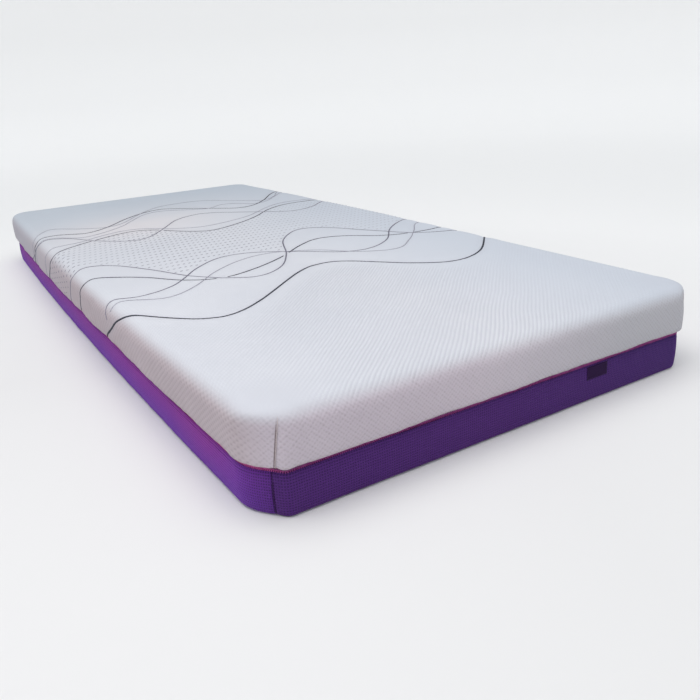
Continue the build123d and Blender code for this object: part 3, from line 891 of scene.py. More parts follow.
def make_borders():
    """Four fabric panels, each from one corner seam to the next, eased on to the base."""
    st = stations(0.0066)
    n = len(st["s"])
    profile = border_profile()
    drop = hem_drop(st["s"], *place(st, np.zeros(n), 0)[:, :2].T)
    pucker = 0.0007 * smooth_noise(st["s"], 0.020, 4.2) + 0.0010 * smooth_noise(st["s"], 0.085, 8.8)
    roll = 0.0011 * smooth_noise(st["s"], 0.27, 2.4)
    rings = []
    for inset, z in profile:
        raised = drop * ramp(z, 0.045, BORDER_TOP - 0.002)
        middle = math.sin(math.pi * np.clip((z - 0.004) / (BORDER_TOP - 0.004), 0, 1))
        near_hems = bump(z - BORDER_TOP, 0.014) + bump(z - 0.006, 0.012) * 0.7
        shift = -0.0019 * middle - (pucker * near_hems + roll * middle) * (z > 0.002)
        rings.append(place(st, inset + shift, z + raised))
    to_seam = round(st["n_corner"] * BORDER_SEAM_ANGLE / (math.pi / 2))
    from_seam = st["n_corner"] - to_seam
    end, side, corner = st["n_end"], st["n_side"], st["n_corner"]
    spans = {"foot": (-from_seam, end + from_seam),
             "right": (end + from_seam, end + corner + side + to_seam),
             "head": (end + corner + side + to_seam, 2 * end + 2 * corner + side + from_seam),
             "left": (2 * end + 2 * corner + side + from_seam, n - from_seam)}
    made = {}
    for name, (first, last) in spans.items():
        columns = [i % n for i in range(first, last + 1)]
        points, faces, uvs = [], [], []
        inward = 0.0004
        for k, ring in enumerate(rings):
            for order_i, c in enumerate(columns):
                p = ring[c].copy()
                edge = min(order_i, len(columns) - 1 - order_i)
                if edge == 0:
                    toward = columns[1] if order_i == 0 else columns[-2]
                    step = ring[toward] - ring[c]
                    p += step / max(np.linalg.norm(step), 1e-9) * inward
                    p[:2] -= st["normal"][c] * 0.0010
                elif edge == 1:
                    p[:2] += st["normal"][c] * 0.0003
                points.append(p)
                travelled = (first + order_i) * st["length"] / n
                uvs.append((travelled, profile[k][1] + (0.03 - profile[k][0]) * 0.5))
        wide = len(columns)
        for k in range(len(rings) - 1):
            for c in range(wide - 1):
                a = k * wide + c
                faces.append((a, a + 1, a + wide + 1, a + wide))
        panel = make_object(f"border_panel_{name}", np.array(points), faces)
        layer = panel.data.uv_layers.new(name="fabric")
        for loop in panel.data.loops:
            layer.data[loop.index].uv = uvs[loop.vertex_index]
        refine = panel.modifiers.new("refine", "SUBSURF")
        refine.levels = refine.render_levels = 1
        shell = panel.modifiers.new("thickness", "SOLIDIFY")
        shell.thickness = BORDER_THICKNESS * 0.9
        shell.offset = -1
        apply_modifiers(panel)
        made[name] = panel
    return made


# ---- materials ----------------------------------------------------------------
class Nodes:
    """A short way to write a procedural material."""

    def __init__(self, name, colour, roughness, **shader):
        self.material = bpy.data.materials.new(name)
        self.material.use_nodes = True
        self.tree = self.material.node_tree
        self.shader = self.tree.nodes["Principled BSDF"]
        self.shader.inputs["Base Color"].default_value = (*colour, 1)
        self.shader.inputs["Roughness"].default_value = roughness
        for key, value in shader.items():
            self.shader.inputs[key.replace("_", " ")].default_value = value

    def add(self, kind, **inputs):
        node = self.tree.nodes.new("ShaderNode" + kind)
        for key, value in inputs.items():
            self.put(node, key.replace("_", " "), value)
        return node

    def put(self, node, key, value):
        socket = node.inputs[int(key)] if key.isdigit() else node.inputs[key]
        if isinstance(value, bpy.types.NodeSocket):
            self.tree.links.new(value, socket)
        else:
            socket.default_value = value

    def math(self, operation, a, b=0.0):
        node = self.tree.nodes.new("ShaderNodeMath")
        node.operation = operation
        self.put(node, "0", a)
        self.put(node, "1", b)
        return node.outputs[0]

    def times(self, a, b):
        return self.math("MULTIPLY", a, b)

    def plus(self, a, b):
        return self.math("ADD", a, b)

    def minus(self, a, b):
        return self.math("SUBTRACT", a, b)

    def place(self, kind="Object"):
        return self.add("TexCoord").outputs[kind]

    def uv(self):
        node = self.tree.nodes.new("ShaderNodeUVMap")
        node.uv_map = "fabric"
        return node.outputs[0]

    def split(self, vector):
        return self.add("SeparateXYZ", Vector=vector).outputs

    def noise(self, vector, scale, detail=3.0, roughness=0.5):
        return self.add("TexNoise", Vector=vector, Scale=scale, Detail=detail,
                        Roughness=roughness).outputs["Fac"]

    def cells(self, vector, scale, feature="F1"):
        node = self.add("TexVoronoi", Vector=vector, Scale=scale)
        node.feature = feature
        return node.outputs["Distance"]

    def wave(self, value, pitch, phase=0.0):
        """0 to 1 sine of a coordinate with a pitch in metres."""
        turned = self.math("MULTIPLY", value, 2 * math.pi / pitch)
        turned = self.math("ADD", turned, phase) if not isinstance(phase, float) or phase else turned
        half = self.math("MULTIPLY", self.math("SINE", turned), 0.5)
        return self.math("ADD", half, 0.5)

    def stagger(self, a, pitch_a, b, pitch_b, phase=0.0):
        """0 to 1 bumps in rows along b, each row shifted by half a pitch."""
        rise = self.math("ADD", self.math("MULTIPLY", a, math.pi / pitch_a), phase)
        run = self.math("MULTIPLY", b, math.pi / pitch_b)
        both = self.math("MULTIPLY", self.math("SINE", rise), self.math("SINE", run))
        return self.math("ADD", self.math("MULTIPLY", both, 0.5), 0.5)

    def attribute(self, name):
        node = self.tree.nodes.new("ShaderNodeAttribute")
        node.attribute_name = name
        return node.outputs["Fac"]

    def span(self, value, low, high, to_low=0.0, to_high=1.0):
        node = self.tree.nodes.new("ShaderNodeMapRange")
        for key, number in zip(("Value", "From Min", "From Max", "To Min", "To Max"),
                               (value, low, high, to_low, to_high)):
            self.put(node, key, number)
        return node.outputs[0]

    def mix(self, share, a, b):
        node = self.tree.nodes.new("ShaderNodeMix")
        node.data_type = "RGBA"
        self.put(node, "0", share)
        for index, colour in ((6, a), (7, b)):
            value = colour if isinstance(colour, bpy.types.NodeSocket) else (*colour, 1)
            self.put(node, str(index), value)
        return node.outputs[2]

    def colour(self, socket):
        self.tree.links.new(socket, self.shader.inputs["Base Color"])

    def relief(self, height, depth, strength=1.0, under=None):
        node = self.tree.nodes.new("ShaderNodeBump")
        node.inputs["Strength"].default_value = strength
        node.inputs["Distance"].default_value = depth
        self.tree.links.new(height, node.inputs["Height"])
        if under is not None:
            self.tree.links.new(under, node.inputs["Normal"])
        self.tree.links.new(node.outputs[0], self.shader.inputs["Normal"])
        return node.outputs[0]


def knit_material():
    """White stretch knit: slanting ribs at the foot, staggered stitches down the sides, a fine
    ground, and painted shade: darker, warmer sides and ends, a top that darkens towards the head end and its
    right, and shade in the knit's low spots, along the wave grooves and in the crease beside each corner
    seam."""
    m = Nodes("white_knit", (0.70, 0.72, 0.76), 0.88, Sheen_Weight=0.06, Sheen_Roughness=0.5,
              Specular_IOR_Level=0.2)
    u, v, _ = m.split(m.uv())
    x, y, z = m.split(m.place())
    side, ribbed = m.attribute("side"), m.attribute("ribbed")
    corner = m.attribute("corner")
    top = m.minus(1.0, side)
    wander = m.times(m.noise(m.place(), 5.5, 2.0), 9.0)
    slant = m.wave(m.minus(u, v), 0.0092, wander)
    crossing = m.wave(m.plus(u, v), 0.0046)
    rib = m.times(slant, m.plus(m.times(crossing, 0.5), 0.5))
    waffle = m.times(m.wave(u, 0.0050), m.wave(v, 0.0050))
    top_part = m.plus(m.times(rib, ribbed),
                      m.times(waffle, m.span(ribbed, 0.0, 1.0, 0.45, 0.0)))
    top_part = m.times(top_part, m.span(corner, 0.0, 0.8, 1.0, 0.15))
    at_end = m.span(m.math("ABSOLUTE", y), HALF_LENGTH - 0.055, HALF_LENGTH - 0.015)
    past_x = m.minus(m.math("ABSOLUTE", x), EDGE_X)
    past_y = m.minus(m.math("ABSOLUTE", y), EDGE_Y)
    turn = m.span(z, HEM_Z, COVER_SEAM_TOP, COVER_SEAM_ANGLE, COVER_SEAM_ANGLE + COVER_SEAM_LEAN)
    gap = m.minus(m.times(past_x, m.math("SINE", turn)),
                 m.times(past_y, m.math("COSINE", turn)))
    end_panel = m.math("LESS_THAN", gap, 0.0)
    around = m.plus(m.times(v, m.minus(1.0, end_panel)),
                    m.times(u, end_panel))
    dashes = m.stagger(z, 0.0047, around, 0.0066, m.times(wander, 0.18))
    dots = m.stagger(z, 0.0036, around, 0.0036)
    side_part = m.plus(m.times(dashes, m.span(at_end, 0.0, 1.0, 1.0, 0.30)),
                       m.times(dots, m.times(at_end, 0.7)))
    ground = m.plus(m.times(top_part, top), m.times(side_part, side))
    blotch = m.span(m.noise(m.place(), 3.2, 4.0), 0.35, 0.68)
    on_top = m.mix(blotch, (0.655, 0.675, 0.725), (0.705, 0.72, 0.765))
    # The sides and ends get darker, warmer copies of the top's colour: painted shade, with the warm tint of
    # the light on them. The side's colour turns cooler towards the head end, and the foot end's darkens
    # towards its right; both are painted shade too.
    side_in_shade = m.mix(blotch, (0.465, 0.400, 0.430), (0.515, 0.445, 0.48))
    end_in_shade = m.mix(blotch, (0.535, 0.475, 0.535), (0.585, 0.525, 0.585))
    side_in_shade = m.mix(m.span(v, -0.1, 0.6, 0.0, 0.8), side_in_shade, (0.455, 0.45, 0.505))
    shaded = m.times(m.span(x, -0.10, 0.25), m.math("LESS_THAN", y, 0.0))
    end_in_shade = m.mix(shaded, end_in_shade, (0.480, 0.477, 0.515))
    side_in_shade = m.mix(at_end, side_in_shade, end_in_shade)
    # Painted shade: the top darkens and turns bluer towards the head end.
    head_end_shade = m.span(m.plus(v, m.times(u, -0.35)), 0.42, 0.90, 0.0, 0.6)
    # Painted shade: the top darkens and turns bluer towards its right side.
    on_top = m.mix(m.span(u, 0.0, 0.35, 0.0, 0.85), on_top, (0.605, 0.655, 0.73))
    on_top = m.mix(head_end_shade, on_top, (0.52, 0.60, 0.68))
    colour = m.mix(side, on_top, side_in_shade)
    # Painted shade in the knit's low spots: deeper on the ribbed part of the top and on the sides.
    lows = m.span(ground, 0.0, 0.55, 1.0, 0.0)
    share = m.plus(0.13, m.times(m.times(ribbed, top), 0.34))
    share = m.plus(share, m.times(side, 0.19))
    hollow_shade = m.mix(side, (0.46, 0.46, 0.53), (0.25, 0.205, 0.225))
    colour = m.mix(m.times(lows, share), colour, hollow_shade)
    colour = m.mix(m.times(m.attribute("warm"), 0.40), colour, (0.84, 0.755, 0.745))
    # Painted shade along the wave grooves.
    colour = m.mix(m.times(m.attribute("groove"), 0.20), colour, (0.48, 0.47, 0.54))
    # Painted shade in the crease beside each corner seam.
    crease = m.span(m.math("ABSOLUTE", m.minus(gap, 0.0016)), 0.0003, 0.0013, 1.0, 0.0)
    crease = m.times(crease, m.math("GREATER_THAN", past_y, 0.01))
    crease = m.times(crease, m.span(z, COVER_SEAM_TOP - 0.022, COVER_SEAM_TOP, 1.0, 0.0))
    m.colour(m.mix(m.times(crease, 0.80), colour, (0.13, 0.085, 0.08)))
    coarse = m.relief(ground, 0.0010, 0.8)
    fine = m.times(m.wave(u, 0.0021), m.wave(v, 0.0021))
    finer = m.relief(fine, 0.0002, 0.4, coarse)
    m.relief(m.noise(m.place(), 900.0, 2.0), 0.0003, 0.3, finer)
    return m.material


def thread_material(name, colour, dark, pitch=0.0016):
    """Twisted thread: fine slanted strands with a slight gloss."""
    m = Nodes(name, colour, 0.70, Sheen_Weight=0.0, Specular_IOR_Level=0.2)
    x, y, z = m.split(m.place())
    slant = m.plus(m.plus(x, y), m.times(z, 0.7))
    strand = m.wave(slant, pitch)
    colour_out = m.mix(m.span(strand, 0.0, 1.0, 0.75, 0.0), colour, dark)
    fuzz = m.noise(m.place(), 260.0, 3.0)
    m.colour(m.mix(m.span(fuzz, 0.4, 0.8, 0.0, 0.35), colour_out, tuple(min(1, c * 1.35) for c in colour)))
    m.relief(strand, 0.0004, 0.8)
    return m.material


def dash_material():
    """The small stitches' thread, which the knit swallows more and more across the width."""
    m = Nodes("dash_thread", (0.30, 0.30, 0.36), 0.75, Specular_IOR_Level=0.2)
    x, y, _ = m.split(m.place())
    strand = m.wave(m.plus(x, y), 0.0014)
    right = m.span(x, -0.06, 0.24)
    left = m.times(m.span(x, -0.40, -0.22, 0.9, 0.0), m.span(x, -0.445, -0.40))
    speckle = m.span(m.noise(m.place(), 30.0, 2.0), 0.3, 0.7, -0.2, 0.2)
    sunk = m.plus(m.math("MAXIMUM", right, left), speckle)
    tone = m.mix(sunk, (0.235, 0.225, 0.28), (0.50, 0.51, 0.57))
    m.colour(m.mix(m.times(strand, 0.25), tone, (0.16, 0.16, 0.20)))
    m.relief(strand, 0.0003, 0.6)
    return m.material


def border_material(name, low, high, end):
    """Purple side fabric: a mesh of small hollows in rows, redder towards the zip, with painted
    shade that darkens it round the corners, towards the foot's right and in the mesh's hollows."""
    m = Nodes(name, low, 0.75, Sheen_Weight=0.20, Sheen_Roughness=0.4, Specular_IOR_Level=0.15,
              Sheen_Tint=(0.60, 0.22, 0.85, 1))
    s, _, _ = m.split(m.uv())
    x, y, z = m.split(m.place())
    wander = m.times(m.noise(m.place(), 18.0, 2.0), 0.6)
    rows = m.wave(z, 0.0042, wander)
    wales = m.wave(s, 0.0040)
    knit = m.math("MAXIMUM", rows, m.times(wales, 0.9))
    blotch = m.span(m.noise(m.place(), 7.0, 4.0), 0.3, 0.7, -0.12, 0.12)
    height = m.plus(m.span(z, 0.012, 0.064), blotch)
    height = m.times(height,
                    m.span(m.math("ABSOLUTE", y), HALF_LENGTH - 0.17, HALF_LENGTH - 0.06, 1.0, 0.25))
    base = m.mix(height, low, high)
    # Painted shade: the fabric darkens round the corners towards the end panels' colour.
    turned = m.span(m.math("ABSOLUTE", y), HALF_LENGTH - 0.08, HALF_LENGTH - 0.005)
    base = m.mix(turned, base, end)
    shaded = m.times(m.span(x, -0.05, 0.40), m.math("LESS_THAN", y, 0.08 - HALF_LENGTH))
    base = m.mix(m.times(shaded, 0.75), base, (0.040, 0.016, 0.125))
    # Painted shade in the mesh's hollows.
    base = m.mix(m.span(knit, 0.1, 0.75, 0.80, 0.0), base, tuple(c * 0.30 for c in end))
    fibre = m.noise(m.place(), 420.0, 2.0)
    lighter = tuple(min(1, c * 1.5) for c in low)
    m.colour(m.mix(m.span(fibre, 0.55, 0.8, 0.0, 0.20), base, lighter))
    under = m.relief(knit, 0.0008, 0.9)
    m.relief(fibre, 0.0003, 0.3, under)
    return m.material


def foam_material(name, colour, dark, pore):
    """Open-cell foam: fine pores, a few larger ones, and slight shading from block to block."""
    m = Nodes(name, colour, 0.94, Specular_IOR_Level=0.15)
    where = m.place()
    pores = m.cells(where, 1 / pore)
    large = m.cells(where, 0.28 / pore)
    blotch = m.noise(where, 4.0, 4.0)
    tone = m.mix(m.span(blotch, 0.3, 0.7), tuple(c * 0.94 for c in colour), colour)
    tone = m.mix(m.span(pores, 0.0, 0.42, 0.6, 0.0), tone, dark)
    m.colour(m.mix(m.span(large, 0.0, 0.16, 0.55, 0.0), tone, dark))
    under = m.relief(pores, pore * 0.8, 0.7)
    m.relief(large, pore * 1.2, 0.35, under)
    return m.material


def tape_material():
    """Woven zip tape: a fine twill with a ribbed edge."""
    m = Nodes("zip_tape", (0.20, 0.03, 0.16), 0.7, Sheen_Weight=0.2, Specular_IOR_Level=0.3)
    x, y, z = m.split(m.place())
    around = m.plus(x, y)
    twill = m.wave(m.plus(around, z), 0.0014)
    ridge = m.wave(z, 0.0018)
    cloth = m.times(twill, m.plus(m.times(ridge, 0.4), 0.6))
    m.colour(m.mix(m.span(cloth, 0.0, 1.0, 0.7, 0.0), (0.24, 0.035, 0.19), (0.06, 0.008, 0.06)))
    m.relief(cloth, 0.0004, 0.8)
    return m.material


def coil_material():
    """Nylon coil: glossy magenta with slight variation from tooth to tooth, and painted shade that darkens it
    at the foot and head ends.
    """
    m = Nodes("zip_coil", (0.45, 0.06, 0.28), 0.40, Specular_IOR_Level=0.4)
    tone = m.span(m.noise(m.place(), 160.0, 2.0), 0.35, 0.65)
    _, y, _ = m.split(m.place())
    # Painted shade: the coil darkens round the corners on to the foot and head ends.
    turned = m.span(m.math("ABSOLUTE", y), HALF_LENGTH - 0.025, HALF_LENGTH - 0.003)
    bright = m.mix(tone, (0.48, 0.055, 0.28), (0.64, 0.120, 0.40))
    m.colour(m.mix(turned, bright, m.mix(tone, (0.24, 0.034, 0.20), (0.34, 0.060, 0.28))))
    m.relief(m.noise(m.place(), 1400.0, 2.0), 0.0002, 0.25)
    return m.material


def metal_material():
    """Lacquered zip casting: dark plum with worn edges and fine cast grain."""
    m = Nodes("zip_metal", (0.14, 0.03, 0.13), 0.32, Metallic=0.55, Specular_IOR_Level=0.5)
    grain = m.noise(m.place(), 900.0, 3.0)
    bevel = m.add("Bevel", Radius=0.0006)
    geometry = m.add("NewGeometry")
    edge = m.add("VectorMath")
    edge.operation = "DOT_PRODUCT"
    m.tree.links.new(bevel.outputs[0], edge.inputs[0])
    m.tree.links.new(geometry.outputs["Normal"], edge.inputs[1])
    worn = m.span(edge.outputs["Value"], 0.985, 0.90)
    patch = m.times(worn, m.span(m.noise(m.place(), 320.0, 3.0), 0.4, 0.6))
    m.colour(m.mix(patch, (0.14, 0.03, 0.13), (0.55, 0.5, 0.52)))
    m.relief(grain, 0.0001, 0.25)
    return m.material


def satin_material(name, colour, border):
    """Woven satin label: smooth weft threads over a finer warp."""
    m = Nodes(name, colour, 0.62, Sheen_Weight=0.0, Specular_IOR_Level=0.08)
    x, y, z = m.split(m.place())
    weft = m.wave(z, 0.0007)
    warp = m.wave(x, 0.0011)
    cloth = m.plus(m.times(weft, 0.7), m.times(warp, 0.3))
    m.colour(m.mix(m.span(cloth, 0.2, 1.0, 0.5, 0.0), colour, border))
    m.relief(cloth, 0.00015, 0.6)
    return m.material


def base_material():
    """Coated non-slip underside: a dark cloth with a grid of small raised dots."""
    m = Nodes("base_fabric", (0.05, 0.03, 0.09), 0.6, Specular_IOR_Level=0.4)
    x, y, z = m.split(m.place())
    dots = m.times(m.wave(x, 0.012), m.wave(y, 0.012))
    raised = m.span(dots, 0.62, 0.80)
    weave = m.times(m.wave(x, 0.0016), m.wave(y, 0.0016))
    cloth = m.mix(m.span(weave, 0.0, 0.6, 0.6, 0.0), (0.055, 0.032, 0.10), (0.02, 0.012, 0.04))
    m.colour(m.mix(raised, cloth, (0.10, 0.085, 0.13)))
    under = m.relief(weave, 0.0003, 0.6)
    m.relief(raised, 0.0009, 0.8, under)
    return m.material


def membrane_material():
    """Coated backing: a thin pale blue film over a fine tricot."""
    m = Nodes("membrane", (0.70, 0.76, 0.82), 0.38, Specular_IOR_Level=0.4,
              Sheen_Weight=0.1)
    where = m.place()
    x, y, z = m.split(where)
    tricot = m.times(m.wave(m.plus(x, z), 0.0019), m.wave(y, 0.0024))
    crease = m.noise(where, 26.0, 5.0, 0.6)
    m.colour(m.mix(m.span(tricot, 0.0, 0.6, 0.35, 0.0), (0.72, 0.78, 0.84), (0.55, 0.62, 0.70)))
    under = m.relief(crease, 0.0018, 0.5)
    m.relief(tricot, 0.0002, 0.5, under)
    return m.material


# ---- foam, base and inner pieces ----------------------------------------------
def simple_rings(st, profile, wobble=0.0, seed=1.0):
    rings = []
    for k, (inset, z) in enumerate(profile):
        shift = wobble * smooth_noise(st["s"], 0.12, seed + 0.13 * k)
        rings.append(place(st, inset + shift, z))
    return rings


def make_foam_slab(name, node, edge, spacing=0.03):
    """A foam layer that fills the outline, with softly cut edges."""
    low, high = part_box(node)
    st = stations(spacing)
    profile = arc(FOAM_INSET + edge, low.z + edge, edge, -90, 0, 3)
    profile += [(FOAM_INSET, (low.z + high.z) / 2)]
    profile += arc(FOAM_INSET + edge, high.z - edge, edge, 0, 90, 3)
    rings = simple_rings(st, profile, 0.0006, low.z * 50)
    points, faces = sweep(st, rings, low_cap=(EDGE_X, EDGE_Y, low.z), high_cap=(EDGE_X, EDGE_Y, high.z))
    return make_object(name, points, faces)


def rounded_block(low, high, edge, cells=3):
    """Corner points and faces of one foam block with rounded upper edges and a crowned top."""
    size = (high - low) / 2
    middle = (high + low) / 2
    layers = ((1.0, low.z), (1.0, high.z - edge * 1.6),
              (0.985, high.z - edge * 0.5), (0.95, high.z - edge * 0.08))
    points, faces = [], []
    sides = cells * 4
    for share, z in layers:
        for k in range(sides):
            side, step = divmod(k, cells)
            t = -1 + 2 * step / cells
            corner = ((t, -1), (1, t), (-t, 1), (-1, -t))[side]
            inset = (1 - share) * 0.6 * min(size.x, size.y)
            points.append((middle.x + corner[0] * (size.x - inset),
                           middle.y + corner[1] * (size.y - inset), z))
    for layer in range(len(layers) - 1):
        for k in range(sides):
            a = layer * sides + k
            b = layer * sides + (k + 1) % sides
            faces.append((a, b, b + sides, a + sides))
    top = len(points)
    points.append((middle.x, middle.y, high.z + edge * 0.15))
    last = (len(layers) - 1) * sides
    for k in range(sides):
        faces.append((last + k, last + (k + 1) % sides, top))
    faces.append(tuple(reversed(range(sides))))
    return points, faces


CELLS = (10, 23)
CELL_PITCH = (0.075, 0.080)
CELL_SLOT = 0.004
CELL_DEPTH = 0.026


def make_foam_top():
    """The top layer: a rim with a rounded edge round a field of separate foam cells."""
    low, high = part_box("foam_top_layer")
    st = stations(0.02)
    round_edge = 0.022
    half_x = (CELLS[0] * CELL_PITCH[0] + CELL_SLOT) / 2
    half_y = (CELLS[1] * CELL_PITCH[1] + CELL_SLOT) / 2
    profile = [(FOAM_INSET + 0.001, low.z)]
    profile += [(FOAM_INSET, low.z + 0.003), (FOAM_INSET, high.z - round_edge - 0.006)]
    profile += arc(FOAM_INSET + round_edge, high.z - round_edge, round_edge, 0, 90, 5)
    rings = simple_rings(st, profile, 0.0005, 6.0)
    floor = high.z - CELL_DEPTH
    share = np.column_stack([st["base"][:, 0] / EDGE_X, st["base"][:, 1] / EDGE_Y])
    for grow, z in ((0.0012, high.z), (0.0, high.z - 0.0014), (0.0, floor)):
        rings.append(np.column_stack([share[:, 0] * (half_x + grow), share[:, 1] * (half_y + grow),
                                      np.full(len(share), z)]))
    points, faces = sweep(st, rings, low_cap=(EDGE_X, EDGE_Y, low.z))
    points = list(map(tuple, points))
    start = len(points) - len(share)
    gx = st["n_end"] + 1
    grid, edge = cap(st, half_x, half_y, floor)
    grid[:, 0] = np.tile(np.linspace(-half_x, half_x, gx), st["n_side"] + 1)
    cap_start = len(points)
    points += list(map(tuple, grid))
    faces += join_rings(np.arange(start, start + len(share)), edge + cap_start)
    faces += grid_faces(st, cap_start)
    for i in range(CELLS[0]):
        for j in range(CELLS[1]):
            x0 = (i - CELLS[0] / 2) * CELL_PITCH[0] + CELL_SLOT / 2
            y0 = (j - CELLS[1] / 2) * CELL_PITCH[1] + CELL_SLOT / 2
            settle = 0.0006 * noise.noise(Vector((i * 1.7, j * 1.3, 0)))
            block, quads = rounded_block(
                Vector((x0, y0, floor - 0.0004)),
                Vector((x0 + CELL_PITCH[0] - CELL_SLOT, y0 + CELL_PITCH[1] - CELL_SLOT,
                        high.z - 0.0008 + settle)), 0.004)
            add_solid(points, faces, block, quads)
    made = make_object("foam_top_cells", points, faces)
    return made


def make_foam_block(name, node, edge, turns):
    """A straight foam piece with cut edges, kept to the outline's bow on its outer side."""
    low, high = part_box(node)
    along_x = turns == "end"
    points, faces = [], []
    steps = 40
    for k in range(steps + 1):
        t = k / steps
        if along_x:
            x = low.x + (high.x - low.x) * t
            outer, inner = (low.y, high.y) if low.y < 0 else (high.y, low.y)
            gap = max(0.0, abs(x) - EDGE_X)
            inner_radius = CORNER_RADIUS - FOAM_INSET
            pull = inner_radius - math.sqrt(max(inner_radius ** 2 - gap ** 2, 0.0)) if gap else 0.0
            outer = outer - math.copysign(pull, outer)
            section = [(x, outer, low.z, 1), (x, inner, low.z, -1),
                       (x, inner, high.z, -1), (x, outer, high.z, 1)]
        else:
            y = low.y + (high.y - low.y) * t
            sign = -1 if high.x < 0 else 1
            outer = sign * (crowned(np.array([EDGE_X + CORNER_RADIUS]), np.array([y]))[0] - FOAM_INSET)
            inner = high.x if sign < 0 else low.x
            section = [(outer, y, low.z, 1), (inner, y, low.z, -1),
                       (inner, y, high.z, -1), (outer, y, high.z, 1)]
        points += [p[:3] for p in section]
    for k in range(steps):
        for c in range(4):
            d = (c + 1) % 4
            a = k * 4
            faces.append((a + c, a + d, a + 4 + d, a + 4 + c))
    faces += [(3, 2, 1, 0), tuple(steps * 4 + c for c in range(4))]
    made = make_object(name, points, faces, smooth=False)
    fix_normals(made)
    soften = made.modifiers.new("soft edge", "BEVEL")
    soften.width = edge
    soften.segments = 2
    soften.limit_method = "ANGLE"
    apply_modifiers(made)
    return made


def fix_normals(obj):
    import bmesh
    mesh = bmesh.new()
    mesh.from_mesh(obj.data)
    bmesh.ops.remove_doubles(mesh, verts=mesh.verts, dist=1e-6)
    bmesh.ops.recalc_face_normals(mesh, faces=mesh.faces)
    mesh.to_mesh(obj.data)
    mesh.free()


def make_membrane():
    """The coated liner under the knit: a thin fitted skin with small creases down its sides."""
    low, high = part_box("waterproof_membrane")
    inset = HALF_LENGTH - high.y
    st = stations(0.016)
    edge = TOP_EDGE_RADIUS - inset
    profile = [(inset, low.z + (high.z - edge - low.z) * k / 4) for k in range(5)]
    profile += arc(inset + edge, high.z - edge, edge, 0, 90, 5)[1:]
    profile += [(0.045, high.z), (0.062, high.z)]
    rings = []
    for k, (d, z) in enumerate(profile):
        slack = 1 - ramp(np.array([z]), high.z - 0.03, high.z - 0.006)[0]
        crease = 0.0011 * (1 + smooth_noise(st["s"], 0.024, 3 + 0.05 * k)) * slack
        rings.append(place(st, d + crease, z))
    points, faces = sweep(st, rings, high_cap=(EDGE_X, EDGE_Y, high.z))
    made = make_object("membrane_liner", points, faces)
    shell = made.modifiers.new("thickness", "SOLIDIFY")
    shell.thickness = 0.0006
    shell.offset = -1
    apply_modifiers(made)
    return made


def make_base():
    """The underside panel, with softened edges, and its flat felled seam."""
    low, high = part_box("base_panel")
    st = stations(0.024)
    inset = HALF_LENGTH - high.y
    profile = [(inset + 0.0015, low.z), (inset, low.z + 0.0008), (inset, high.z - 0.0005),
               (inset + 0.001, high.z)]
    points, faces = sweep(st, simple_rings(st, profile), low_cap=(EDGE_X, EDGE_Y, low.z),
                          high_cap=(EDGE_X, EDGE_Y, high.z))
    panel = make_object("base_cloth", points, faces)
    seam_low, seam_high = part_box("base_seam")
    outer = HALF_LENGTH - seam_high.y
    wide = 0.0026
    st = stations(0.006)
    profile = [(outer + wide, 0.0018), (outer + wide * 0.85, 0.0007), (outer + wide * 0.5, 0.0004),
               (outer + wide * 0.15, 0.0007), (outer, 0.0018), (outer + wide * 0.5, 0.0024)]
    rings = simple_rings(st, profile)
    points, faces = sweep(st, rings + rings[:1])
    seam = make_object("base_felled_seam", points, faces)
    fix_normals(seam)
    return panel, seam


def make_label(name, node, way, fabric):
    """A sewn label: a thin cloth laid on the fabric behind it, with stitches round its edge."""
    low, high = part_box(node)
    centre = (low + high) / 2
    half_x, half_z = (high.x - low.x) / 2, (high.z - low.z) / 2
    columns, rows = 18, 10
    points, faces = [], []
    thick = 0.0007
    for layer in (0, 1):
        for r in range(rows + 1):
            for c in range(columns + 1):
                a, b = -1 + 2 * c / columns, -1 + 2 * r / rows
                x, z = centre.x + a * half_x, centre.z + b * half_z
                start = Vector((x, way * (HALF_LENGTH + 0.03), z))
                hit = fabric.ray_cast(start, Vector((0, -way, 0)))[0]
                crease = 0.0003 * noise.noise(Vector((a * 2.1, b * 1.7, half_x * 90)))
                pillow = thick * (1 - max(abs(a), abs(b)) ** 8 * 0.7)
                out = crease + (pillow if layer == 0 else -0.0002)
                points.append((x, hit.y + way * out, z))
    count = (columns + 1) * (rows + 1)
    for r in range(rows):
        for c in range(columns):
            a = r * (columns + 1) + c
            quad = (a, a + 1, a + columns + 2, a + columns + 1)
            faces.append(quad)
            faces.append(tuple(count + q for q in reversed(quad)))
    rim = [c for c in range(columns)] + [columns + r * (columns + 1) for r in range(rows)] \
        + [rows * (columns + 1) + c for c in range(columns, 0, -1)] \
        + [r * (columns + 1) for r in range(rows, 0, -1)]
    for k, a in enumerate(rim):
        b = rim[(k + 1) % len(rim)]
        faces.append((a, a + count, b + count, b))
    label = make_object(name, points, faces)
    fix_normals(label)
    stitches, quads = [], []
    inset = 0.0022
    pitch = 0.0031
    edge_z, edge_x = half_z - inset, half_x - inset
    for sign in (-1, 1):
        for k in range(int(2 * edge_x / pitch)):
            stitches.append((Vector((-edge_x + (k + 0.5) * pitch, 0, sign * edge_z)), Vector((1, 0, 0))))
        for k in range(int(2 * edge_z / pitch)):
            stitches.append((Vector((sign * edge_x, 0, -edge_z + (k + 0.5) * pitch)), Vector((0, 0, 1))))
    points, faces = [], []
    tree = surface_tree(label)
    for spot, along in stitches:
        start = Vector((centre.x + spot.x, centre.y + way * 0.02, centre.z + spot.z))
        hit, _, _, _ = tree.ray_cast(start, Vector((0, -way, 0)), 0.04)
        if hit is None:
            continue
        out = Vector((0, way, 0))
        corners, quads = bar(hit + out * 0.0001, along, along.cross(out), out, 0.0010, 0.00022, 0.00025)
        add_solid(points, faces, corners, quads)
    thread = make_object(name + "_stitches", points, faces)
    return label, thread


